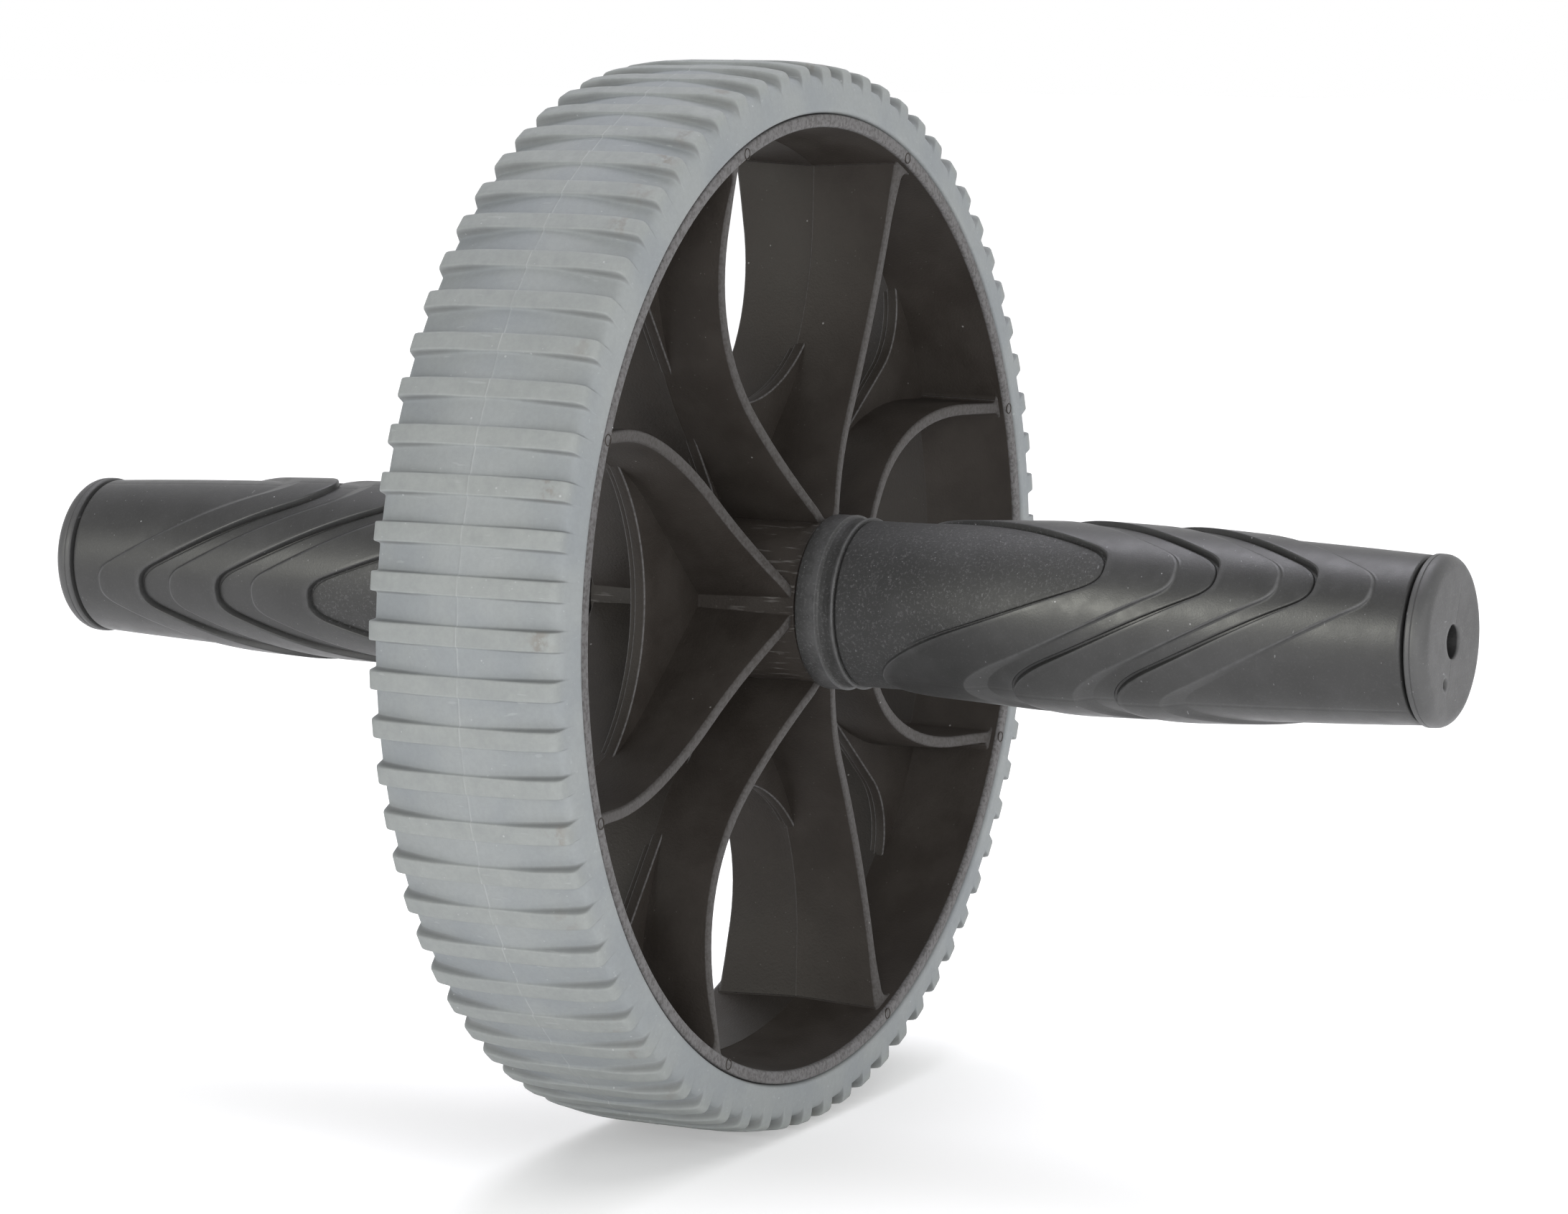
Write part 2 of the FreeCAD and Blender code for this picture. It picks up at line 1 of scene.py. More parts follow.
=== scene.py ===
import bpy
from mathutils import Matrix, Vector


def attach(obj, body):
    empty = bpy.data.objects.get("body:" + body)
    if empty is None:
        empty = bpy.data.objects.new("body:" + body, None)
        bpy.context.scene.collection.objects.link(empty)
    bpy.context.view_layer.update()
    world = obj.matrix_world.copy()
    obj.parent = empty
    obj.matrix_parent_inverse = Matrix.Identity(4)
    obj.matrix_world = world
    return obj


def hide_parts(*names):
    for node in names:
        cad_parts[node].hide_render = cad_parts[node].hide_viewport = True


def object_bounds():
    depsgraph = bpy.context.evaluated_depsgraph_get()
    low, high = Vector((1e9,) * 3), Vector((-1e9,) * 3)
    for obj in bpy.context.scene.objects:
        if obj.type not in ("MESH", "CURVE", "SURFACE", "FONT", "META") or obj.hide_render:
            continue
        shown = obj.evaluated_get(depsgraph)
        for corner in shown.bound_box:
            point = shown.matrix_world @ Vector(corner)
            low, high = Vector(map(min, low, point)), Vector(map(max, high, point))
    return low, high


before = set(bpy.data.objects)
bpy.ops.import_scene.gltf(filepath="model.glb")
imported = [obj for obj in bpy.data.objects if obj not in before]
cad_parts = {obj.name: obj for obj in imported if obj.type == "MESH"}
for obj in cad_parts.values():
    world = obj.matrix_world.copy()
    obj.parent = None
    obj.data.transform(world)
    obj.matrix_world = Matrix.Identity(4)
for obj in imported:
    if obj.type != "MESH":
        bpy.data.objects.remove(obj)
cad_box = [list(corner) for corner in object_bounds()]

import math

import bpy
import numpy as np
from mathutils import Vector

MM = 0.001
RIGHT, LEFT = -1, 1                 # side of the wheel along Y


# Mesh helpers, in millimetres

def grid_faces(rows, cols, wrap_rows=False):
    """Quads over a grid of points whose rows are closed rings; wrap_rows joins the last ring to the first."""
    r = np.arange(rows if wrap_rows else rows - 1)
    r, c = [x.ravel() for x in np.meshgrid(r, np.arange(cols), indexing="ij")]
    r2, c2 = (r + 1) % rows, (c + 1) % cols
    return np.stack([r * cols + c, r * cols + c2, r2 * cols + c2, r2 * cols + c], 1).tolist()


def signed_volume(points, faces):
    fans = np.array([(f[0], f[i], f[i + 1]) for f in faces for i in range(1, len(f) - 1)])
    a, b, c = points[fans[:, 0]], points[fans[:, 1]], points[fans[:, 2]]
    return np.einsum("ij,ij->", a, np.cross(b, c)) / 6


def facing_out(points, faces):
    """The same closed shell with its faces turned outward."""
    if signed_volume(points, faces) < 0:
        faces = [f[::-1] for f in faces]
    return points, faces


def make_piece(name, shells, sharp_deg=40, values=None):
    """One object from closed shells, smooth apart from sharp edges, with named values on its points."""
    points, faces = [], []
    for shell_points, shell_faces in shells:
        start = sum(len(p) for p in points)
        points.append(shell_points)
        faces += [[i + start for i in f] for f in shell_faces]
    mesh = bpy.data.meshes.new(name)
    mesh.from_pydata((np.concatenate(points) * MM).tolist(), [], faces)
    mesh.update()
    mesh.polygons.foreach_set("use_smooth", [True] * len(mesh.polygons))
    mesh.set_sharp_from_angle(angle=math.radians(sharp_deg))
    for key, numbers in (values or {}).items():
        layer = mesh.attributes.new(key, "FLOAT", "POINT")
        layer.data.foreach_set("value", np.asarray(numbers, np.float32).ravel())
    piece = bpy.data.objects.new(name, mesh)
    bpy.context.scene.collection.objects.link(piece)
    return piece


def rounded(profile, steps=4):
    """Closed run of (radius, station) points from corners given as (radius, station, rounding)."""
    out = []
    count = len(profile)
    for i, (r, s, rounding) in enumerate(profile):
        corner = np.array([r, s])
        if rounding == 0:
            out.append(corner)
            continue
        before = np.array(profile[i - 1][:2]) - corner
        after = np.array(profile[(i + 1) % count][:2]) - corner
        before, after = before / np.linalg.norm(before), after / np.linalg.norm(after)
        half = 0.5 * math.acos(np.clip(before @ after, -1, 1))
        inward = (before + after) / np.linalg.norm(before + after)
        centre = corner + inward * rounding / math.sin(half)
        start = corner + before * rounding / math.tan(half) - centre
        end = corner + after * rounding / math.tan(half) - centre
        a = math.atan2(start[1], start[0])
        b = math.atan2(end[1], end[0])
        turn = (b - a + math.pi) % (2 * math.pi) - math.pi
        for k in range(steps + 1):
            t = a + turn * k / steps
            out.append(centre + rounding * np.array([math.cos(t), math.sin(t)]))
    return np.array(out)


def lathe(profile, side, cols=192):
    """Closed shell turned about the axle; stations run outward along the given side."""
    angles = np.arange(cols) * 2 * math.pi / cols
    r, s = profile[:, :1], profile[:, 1:]
    points = np.stack([r * np.cos(angles), side * s + 0 * angles, r * np.sin(angles)], -1)
    return facing_out(points.reshape(-1, 3), grid_faces(len(profile), cols, wrap_rows=True))


def smooth(x, low, high):
    """Smooth step from 0 at low to 1 at high; low may be the larger of the two."""
    t = np.clip((np.asarray(x, float) - low) / (high - low), 0, 1)
    return t * t * (3 - 2 * t)


# Materials

class Finish:
    """Short way to write one procedural material."""

    def __init__(self, name):
        self.material = bpy.data.materials.new(name)
        self.material.use_nodes = True
        self.tree = self.material.node_tree
        self.tree.nodes.clear()
        self.place = self.add("ShaderNodeTexCoord").outputs["Object"]

    def add(self, kind, sockets=None, **settings):
        node = self.tree.nodes.new(kind)
        for key, value in settings.items():
            setattr(node, key, value)
        for key, value in (sockets or {}).items():
            self.put(node.inputs[key], value)
        return node

    def put(self, socket, value):
        if isinstance(value, bpy.types.NodeSocket):
            self.tree.links.new(value, socket)
        else:
            socket.default_value = value

    def stretched(self, x, y, z):
        scaled = self.add("ShaderNodeVectorMath", {0: self.place, 1: (x, y, z)}, operation="MULTIPLY")
        return scaled.outputs[0]

    def noise(self, size_mm, detail=3.0, place=None, roughness=0.55):
        return self.add("ShaderNodeTexNoise", {
            "Vector": place or self.place, "Scale": 1 / (size_mm * MM), "Detail": detail,
            "Roughness": roughness}).outputs["Fac"]

    def specks(self, size_mm, radius_share, kept_share):
        """Sparse round specks: 1 inside a speck and 0 elsewhere."""
        cells = self.add("ShaderNodeTexVoronoi", {
            "Vector": self.place, "Scale": 1 / (size_mm * MM)}, feature="F1")
        near = self.between(cells.outputs["Distance"], radius_share, radius_share * 0.6)
        hue = self.add("ShaderNodeSeparateColor", {0: cells.outputs["Color"]}).outputs[0]
        kept = self.math("LESS_THAN", hue, kept_share)
        return self.math("MULTIPLY", near, kept)

    def value(self, name):
        """A value that the mesh carries on its points; 0 where it has none of that name."""
        return self.add("ShaderNodeAttribute", attribute_name=name).outputs["Fac"]

    def math(self, operation, a, b=0.0):
        return self.add("ShaderNodeMath", {0: a, 1: b}, operation=operation).outputs[0]

    def between(self, x, low, high, to_low=0.0, to_high=1.0):
        """Smooth step of x from low to high."""
        if high < low:
            low, high, to_low, to_high = high, low, to_high, to_low
        return self.add("ShaderNodeMapRange", {
            "Value": x, "From Min": low, "From Max": high, "To Min": to_low, "To Max": to_high},
            interpolation_type="SMOOTHSTEP").outputs[0]

    def mix(self, share, a, b):
        node = self.add("ShaderNodeMix", data_type="RGBA")
        for socket, value in ((node.inputs[0], share), (node.inputs[6], a), (node.inputs[7], b)):
            self.put(socket, (*value, 1) if isinstance(value, tuple) else value)
        return node.outputs[2]

    def bump(self, height, depth_mm, normal=None):
        sockets = {"Height": height, "Distance": depth_mm * MM}
        if normal is not None:
            sockets["Normal"] = normal
        return self.add("ShaderNodeBump", sockets).outputs[0]

    def done(self, colour, roughness, normal, **constants):
        shader = self.add("ShaderNodeBsdfPrincipled", {
            "Base Color": colour, "Roughness": roughness, "Normal": normal})
        for key, value in constants.items():
            shader.inputs[key.replace("_", " ")].default_value = value
        output = self.add("ShaderNodeOutputMaterial")
        self.tree.links.new(shader.outputs[0], output.inputs[0])
        return self.material


def tread_finish():
    """Grey rubber: dusty lug tops, painted shade at the lugs' feet, brown smudges, pale specks, scratches,
    mould line and painted highlights on the lug edges.
    """
    rubber_dark, rubber_light = (0.315, 0.338, 0.35), (0.36, 0.38, 0.38)
    dust_dark, dust_light = (0.335, 0.353, 0.343), (0.372, 0.39, 0.376)
    mottle_grey, painted_shade_grey, smudge_brown = (0.23, 0.245, 0.245), (0.12, 0.118, 0.112), (0.2, 0.16, 0.12)
    pale_marks_and_highlight = (0.6, 0.62, 0.62)
    f = Finish("tread_rubber")
    lug, smudge, seam, painted_foot_shade = f.value("lug"), f.value("smudge"), f.value("seam"), f.value("painted_foot_shade")
    cloud = f.noise(16, 4)
    fine = f.noise(0.5, 4)
    base = f.mix(f.between(cloud, 0.35, 0.65), rubber_dark, rubber_light)
    dust = f.mix(f.between(f.noise(3, 4), 0.3, 0.7), dust_dark, dust_light)
    colour = f.mix(f.math("MULTIPLY", lug, 0.8), base, dust)
    mottle = f.between(f.noise(0.9, 5, roughness=0.7), 0.35, 0.65)
    colour = f.mix(f.math("MULTIPLY", mottle, 0.16), colour, mottle_grey)
    # Painted shade: the lugs' feet and the bore's edge are darkened where shade falls
    colour = f.mix(f.math("MULTIPLY", painted_foot_shade, 0.42), colour, painted_shade_grey)
    stain = f.math("MULTIPLY", smudge, f.between(f.noise(2.2, 4), 0.46, 0.62))
    colour = f.mix(f.math("MULTIPLY", stain, 0.5), colour, smudge_brown)
    scratch = f.between(f.noise(0.9, 2, f.stretched(1, 0.12, 1)), 0.69, 0.74)
    pale = f.math("MAXIMUM", f.specks(4.0, 0.06, 0.45), f.math("MULTIPLY", scratch, 0.35))
    pale = f.math("MAXIMUM", pale, f.math("MULTIPLY", f.specks(1.6, 0.11, 0.16), 0.6))
    broken = f.between(f.noise(4, 4), 0.38, 0.62, 0.25, 0.8)
    # The seam value carries the pale mould line and also painted highlights along the lug edges
    pale = f.math("MAXIMUM", pale, f.math("MULTIPLY", seam, broken))
    colour = f.mix(f.math("MULTIPLY", pale, 0.55), colour, pale_marks_and_highlight)
    rough = f.between(f.noise(2, 4), 0.2, 0.8, 0.6, 0.8)
    normal = f.bump(fine, 0.03, f.bump(cloud, 0.2))
    return f.done(colour, rough, normal, Specular_IOR_Level=0.35)


def core_finish():
    """Black moulding: fine grain, rubbed edges that are also lightened as painted sheen, dust specks and drag
    marks at the hub's ends.
    """
    black_dark, black_light = (0.03, 0.0245, 0.0202), (0.042, 0.0355, 0.0302)
    wear_and_sheen_grey, speck_pale, scuff = (0.178, 0.174, 0.175), (0.35, 0.34, 0.33), (0.2, 0.19, 0.18)
    f = Finish("core_plastic")
    edge = f.value("edge")
    grain = f.noise(0.45, 3)
    cloud = f.noise(9, 4)
    colour = f.mix(f.between(cloud, 0.3, 0.7), black_dark, black_light)
    # Paler edges: partly rubbed wear and partly painted sheen
    wear_and_sheen = f.math("MULTIPLY", edge, f.between(f.noise(0.6, 5), 0.35, 0.6, 0.45, 1.0))
    colour = f.mix(wear_and_sheen, colour, wear_and_sheen_grey)
    dusty = f.between(f.noise(14, 3), 0.45, 0.65, 0.1, 0.55)
    colour = f.mix(f.math("MULTIPLY", f.specks(4.5, 0.05, 0.3), 0.7), colour, speck_pale)
    colour = f.mix(f.math("MULTIPLY", f.specks(1.3, 0.12, dusty), 0.22), colour, scuff)
    drag = f.between(f.noise(0.6, 3, f.stretched(1, 0.1, 1)), 0.57, 0.7)
    dragged = f.math("MULTIPLY", drag, f.math("MULTIPLY", f.value("hub"), 0.58))
    colour = f.mix(dragged, colour, scuff)
    rough = f.math("SUBTRACT", f.between(cloud, 0.2, 0.8, 0.58, 0.7), f.math("MULTIPLY", edge, 0.1))
    coarse = f.math("MULTIPLY", f.noise(0.8, 3), edge)
    return f.done(colour, rough, f.bump(coarse, 0.07, f.bump(grain, 0.085)), Specular_IOR_Level=0.3)


def grip_finish(name, dark, light, rough_low, rough_high, grain_mm, specks):
    """Black rubber or plastic of the handles: pale grain where matte, rubbed edges lightened also as painted
    highlights, dust, specks, lint and painted shade in the cap's vent and gate pit.
    """
    grain_grey, wear_and_sheen_grey, dust_grey = (0.19, 0.19, 0.19), (0.17, 0.17, 0.173), (0.16, 0.16, 0.165)
    speck_pale, painted_shade_black = (0.46, 0.46, 0.47), (0.012, 0.012, 0.012)
    f = Finish(name)
    cloud = f.noise(11, 4)
    fine = f.noise(0.5, 3)
    matte = f.value("matte")
    colour = f.mix(f.between(cloud, 0.3, 0.7), dark, light)
    sparkle = f.between(f.noise(0.5, 4, roughness=0.75), 0.52, 0.66)
    colour = f.mix(f.math("MULTIPLY", sparkle, f.between(matte, 0, 1, 0.07, 0.4)), colour, grain_grey)
    # Paler band, crest and lip edges: wear and painted highlight
    wear_and_sheen = f.math("MULTIPLY", f.value("wear_and_sheen"), f.between(f.noise(1.5, 4), 0.3, 0.6, 0.5, 1.0))
    colour = f.mix(f.math("MULTIPLY", wear_and_sheen, 0.6), colour, wear_and_sheen_grey)
    dust = f.between(f.noise(6, 5), 0.5, 0.75)
    colour = f.mix(f.math("MULTIPLY", dust, 0.07), colour, dust_grey)
    crowd = f.between(matte, 0, 1, specks * 0.5, specks * 2.4)
    small_dots = f.math("MULTIPLY", f.specks(1.1, 0.11, crowd), 0.55)
    dots = f.math("MAXIMUM", f.specks(3.2, 0.06, specks), small_dots)
    up = f.add("ShaderNodeSeparateXYZ", {0: f.add("ShaderNodeTexCoord").outputs["Normal"]}).outputs["Z"]
    dots = f.math("MULTIPLY", dots, f.between(up, -0.3, 0.6, 0.45, 1.0))
    lint = f.between(f.noise(0.7, 2, f.stretched(0.14, 1, 0.5)), 0.73, 0.78)
    pale = f.math("MAXIMUM", dots, f.math("MULTIPLY", lint, 0.4))
    colour = f.mix(f.math("MULTIPLY", pale, 0.75), colour, speck_pale)
    # Painted shade: the cap's vent and gate pit are darkened to near black
    colour = f.mix(f.math("MULTIPLY", f.value("painted_recess_shade"), 0.85), colour, painted_shade_black)
    rough = f.between(f.noise(3, 4), 0.25, 0.75, rough_low, rough_high)
    rough = f.math("ADD", rough, f.math("MULTIPLY", matte, 0.15))
    rougher = f.between(matte, 0, 1, 1.0, 2.6)
    grain = f.math("MULTIPLY", f.noise(grain_mm, 2), rougher)
    normal = f.bump(grain, 0.016, f.bump(f.math("MULTIPLY", fine, rougher), 0.012))
    return f.done(colour, rough, normal, Specular_IOR_Level=0.5)


def steel_finish():
    f = Finish("axle_steel")
    drawn = f.noise(0.4, 3, f.stretched(1, 0.03, 1))
    colour = f.mix(drawn, (0.5, 0.5, 0.52), (0.66, 0.66, 0.68))
    rough = f.between(drawn, 0.3, 0.7, 0.25, 0.42)
    return f.done(colour, rough, f.bump(drawn, 0.01), Metallic=1.0)


def bearing_finish():
    f = Finish("bearing_plastic")
    cloud = f.noise(3, 4)
    colour = f.mix(cloud, (0.62, 0.6, 0.54), (0.74, 0.73, 0.68))
    rough = f.between(cloud, 0.3, 0.7, 0.38, 0.5)
    return f.done(colour, rough, f.bump(f.noise(0.3, 2), 0.03))


finishes = {
    "tread_rubber": tread_finish(),
    "core_plastic": core_finish(),
    "grip_rubber": grip_finish(
        "grip_rubber", (0.032, 0.032, 0.0315), (0.0415, 0.0415, 0.041), 0.38, 0.46, 0.28, 0.25),
    "handle_plastic": grip_finish(
        "handle_plastic", (0.029, 0.029, 0.0282), (0.04, 0.04, 0.039), 0.36, 0.46, 0.3, 0.3),
    "cap_plastic": grip_finish(
        "cap_plastic", (0.072, 0.072, 0.072), (0.09, 0.09, 0.09), 0.4, 0.5, 0.25, 0.12),
    "axle_steel": steel_finish(),
    "bearing_plastic": bearing_finish(),
}


def settle(piece, body, slot, *nodes):
    """Give a piece its finish, the body that it moves with and the solids that it stands for."""
    piece.data.materials.append(finishes[slot])
    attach(piece, body)
    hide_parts(*nodes)


# Tread: crowned base, lugs that grow toward the shoulders, side walls and bore

lug_count = 72
lug_pitch_deg = 360 / lug_count
wheel_turn_deg = -2.7               # turn of the wheel about the axle in the photograph
lug_lead_deg = 0.4                  # first lug's angle ahead of a petal's middle line
tread_radius = 92.0
tread_bore, tread_bore_half = 83.05, 16.6


def make_tread():
    pitch = math.radians(lug_pitch_deg) * tread_radius
    # Offsets from a lug's middle line, and how far the surface has risen from base to lug top
    rise = [(0, 1), (0.75, 1), (1.32, 1), (1.46, 0.975), (1.56, 0.9), (1.62, 0.75), (1.68, 0.45),
            (1.74, 0.2), (1.84, 0.06), (2.05, 0), (2.7, 0), (3.4, 0)]
    offsets = [-x for x, _ in rise[:0:-1]] + [x for x, _ in rise] + [pitch / 2]
    shares = [w for _, w in rise[:0:-1]] + [w for _, w in rise] + [0]
    angles, lug_share, lug_index = [], [], []
    for k in range(lug_count):
        middle = math.radians(wheel_turn_deg + lug_lead_deg + k * lug_pitch_deg)
        angles += [middle + x / tread_radius for x in offsets]
        lug_share += shares
        lug_index += [k] * len(offsets)
    angles, lug_share, lug_index = np.array(angles), np.array(lug_share), np.array(lug_index)

    # Half profile from the bore's edge to the mould line: base (radius, half width), then lug
    half = [
        (83.2, 17.2, 83.2, 17.2), (83.42, 17.68, 83.42, 17.68), (83.7, 17.9, 83.7, 17.9),
        (84.2, 17.85, 84.2, 17.85), (85.4, 17.66, 85.4, 17.66), (86.4, 17.46, 86.4, 17.48),
        (87.1, 17.33, 87.5, 17.34), (87.7, 17.19, 88.6, 17.24), (88.2, 17.0, 89.5, 17.15),
        (88.62, 16.75, 90.15, 17.04), (88.98, 16.4, 90.62, 16.84), (89.22, 15.95, 90.95, 16.5),
        (89.4, 15.4, 91.17, 16.0), (89.56, 14.8, 91.3, 15.35), (89.83, 13.7, 91.46, 14.3),
        (90.15, 12.2, 91.7, 12.7), (90.53, 10.2, 91.9, 10.6), (90.87, 8.0, 92.0, 8.2),
        (91.15, 5.8, 92.0, 5.8), (91.36, 3.6, 92.0, 3.6), (91.47, 1.7, 92.0, 1.7),
        (91.49, 0.5, 92.0, 0.5), (91.5, 0.16, 92.0, 0.16)]
    half = np.array(half)
    other = half[::-1] * [1, -1, 1, -1]
    seam = np.array([[91.56, 0.0, 92.05, 0.0]])
    outer = np.concatenate([half, seam, other])
    # The bore has a ring groove that sits on the rim's rib
    bore = np.array([
        (tread_bore, -tread_bore_half), (tread_bore, -4.05), (84.05, -4.0), (84.05, 4.0), (tread_bore, 4.05),
        (tread_bore, tread_bore_half)])
    outer = np.concatenate([outer, np.concatenate([bore, bore], 1)])
    rows, cols = len(outer), len(angles)
    share = lug_share[None, :]
    radius = outer[:, :1] * (1 - share) + outer[:, 2:3] * share
    width = outer[:, 1:2] * (1 - share) + outer[:, 3:] * share

    # The mould line wanders a little, and no two lugs are quite alike
    near_seam = np.exp(-(width / 1.2) ** 2) * (radius > 90)
    wander = 0.1 * np.sin(angles * 9) + 0.06 * np.sin(angles * 23 + 1) + 0.05 * np.sin(angles * 61)
    width = width + near_seam * wander[None, :]
    rng = np.random.default_rng(7)
    unlike = rng.uniform(-0.07, 0.0, lug_count)[lug_index]
    radius = radius + share * unlike[None, :] * (radius > 90.5)
    points = np.stack([radius * np.cos(angles), width, radius * np.sin(angles)], -1)
    lug_value = np.broadcast_to(share, (rows, cols)) * smooth(radius, 88.0, 90.5)

    # Values for the finish: lug tops, painted shade at the lugs' feet and at the bore's edge beside the rim,
    # smudges, the mould line and painted highlights along the lug edges
    lug_rise = outer[:, 2:3] - outer[:, :1]
    # Painted shade in the crease at each tall lug's feet and at the bore's edge beside the rim
    painted_foot_shade = smooth(lug_rise, 0.55, 1.6) * np.interp(share, [0, 0.05, 0.45, 0.9, 1], [0.0, 0.8, 1, 0.25, 0])
    painted_foot_shade = np.maximum(painted_foot_shade, smooth(radius, 83.5, 83.2) * np.ones_like(painted_foot_shade))
    dirty = (rng.random(lug_count) < 0.45) * rng.uniform(0.4, 1.0, lug_count)
    spot = rng.uniform(-15.2, -12.5, lug_count)
    near_spot = np.exp(-((width - spot[lug_index][None, :]) / 1.6) ** 2)
    smudge = dirty[lug_index][None, :] * near_spot * lug_value
    shell = facing_out(points.reshape(-1, 3), grid_faces(rows, cols, wrap_rows=True))
    seam_and_edge_highlight = np.zeros((rows, cols))
    seam_and_edge_highlight[len(half)] = 1
    # Painted highlight: a pale line along the edges of the lug tops, carried with the mould line
    painted_lug_edge_highlight = np.interp(share, [0.7, 0.9, 0.975, 1], [0, 1, 0.6, 0]) * smooth(radius, 90.0, 91.0)
    seam_and_edge_highlight = np.maximum(seam_and_edge_highlight, 0.4 * painted_lug_edge_highlight)
    tread = make_piece("tread_band", [shell], 60, {
        "lug": lug_value, "smudge": smudge, "seam": seam_and_edge_highlight, "painted_foot_shade": painted_foot_shade})
    settle(tread, "wheel", "tread_rubber", "tread")


# Spoked core: rim, hub, eight curved vanes and a pierced web in one moulding

rim_inner_edge, rim_inner_middle, rim_outer, rim_half = 80.8, 79.8, 83.0, 17.7
rim_rib, rim_rib_half = 84.0, 4.0
hub_radius, hub_end_radius, hub_half = 14.3, 14.05, 19.7
bush_seat, bush_pocket, bush_pocket_half = 9.76, 13.0, 18.1
petal_half_width, vane_leg, vane_bend = 30.5, math.radians(41.4), 50.0
vane_leg_point = np.array([15.5, 4.0])
# A vane's half width as (distance from the axle, half width) at hub, waist and rim
vane_widths = ((hub_radius, 19.3), (52.0, 12.7), (rim_inner_edge, 16.5))
vane_thickness, vane_draft, vane_draft_width = 2.8, 0.9, 16.5
# Fillets of a vane at the rim by side, 1 for the slot's and -1 for the petal's, in the front and rear
# petals and then in the top and bottom ones; a line of flash stands in the smaller fillet
vane_fillets = ({1: 0.9, -1: 1.3}, {1: 2.1, -1: 0.6})
rim_flash = 0.2
fillet_rows = (0.18, 0.32, 0.42, 0.5, 0.58, 0.68, 0.82, 1.0)
vane_root, vane_run_in = 13.2, 81.9
draft_half = hub_half
# The web's rounded edges are paler, as wear and as painted highlight
web_half, web_parting, web_edge_round, web_edge_wear_and_sheen = 1.5, 0.5, 0.3, 0.75
web_overlap, web_step = 0.3, 0.35   # how the web's upper layer sits in and on its lower one
window_nose, window_radius, window_half_gap = 33.1, 34.3, 0.9
slot_root, slot_root_radius, slot_end, slot_end_radius = 22.0, 6.5, 68.2, 12.8
mark_radius, mark_wire, mark_reach, mark_sink = 0.9, 0.12, 81.75, 0.02


def vane_sides(thickness, rim_radius, fillets):
    """The two sides of one vane's plan, root to rim, sampled alike."""
    span = vane_bend * math.tan(vane_leg / 2)
    corner_x = vane_leg_point[0] + (petal_half_width - vane_leg_point[1]) / math.tan(vane_leg)
    centre = np.array([corner_x + span, petal_half_width - vane_bend])
    along = np.array([math.cos(vane_leg), math.sin(vane_leg)])
    normal = np.array([-math.sin(vane_leg), math.cos(vane_leg)])
    nearest = vane_leg_point - along * (vane_leg_point @ along)
    root = nearest + along * math.sqrt(vane_root ** 2 - nearest @ nearest)
    sides = []
    for side in (1, -1):
        half = side * thickness / 2
        bend = vane_bend + half
        vane_fillet = fillets[side]
        fillet_y = petal_half_width + half + side * vane_fillet
        fillet_x = math.sqrt((rim_radius - vane_fillet) ** 2 - fillet_y ** 2)
        fillet = np.array([fillet_x, fillet_y])
        run = [root + normal * half + (centre + normal * bend - root - normal * half) * t
               for t in np.linspace(0, 1, 9)]
        for t in np.linspace(0, vane_leg, 15)[1:]:
            a = math.pi / 2 + vane_leg - t
            run.append(centre + bend * np.array([math.cos(a), math.sin(a)]))
        bend_end = run[-1]
        on_side = np.array([fillet_x, petal_half_width + half])
        run += [bend_end + (on_side - bend_end) * t for t in (0.4, 0.75, 1.0)]
        a = -side * math.pi / 2
        b = math.atan2(fillet_y, fillet_x)
        turn = (b - a + math.pi) % (2 * math.pi) - math.pi
        for t in fillet_rows:
            bulge = rim_flash * max(0, 1 - abs(t - 0.5) / 0.1) if fillets[side] < fillets[-side] else 0
            way = np.array([math.cos(a + turn * t), math.sin(a + turn * t)])
            run.append(fillet + (vane_fillet - bulge) * way)
        run.append(fillet / np.linalg.norm(fillet) * vane_run_in)
        sides.append(np.array(run))
    return sides


def dish_half(radius):
    """Half width of a vane at a distance from the axle: an arc through hub, waist and rim."""
    a, b, c = np.array(vane_widths)
    m = 2 * np.array([b - a, c - a])
    centre = np.linalg.solve(m, [b @ b - a @ a, c @ c - a @ a])
    bow = np.linalg.norm(a - centre)
    along = np.clip(radius, a[0], c[0]) - centre[0]
    return centre[1] - np.sqrt(np.maximum(bow ** 2 - along ** 2, 0))


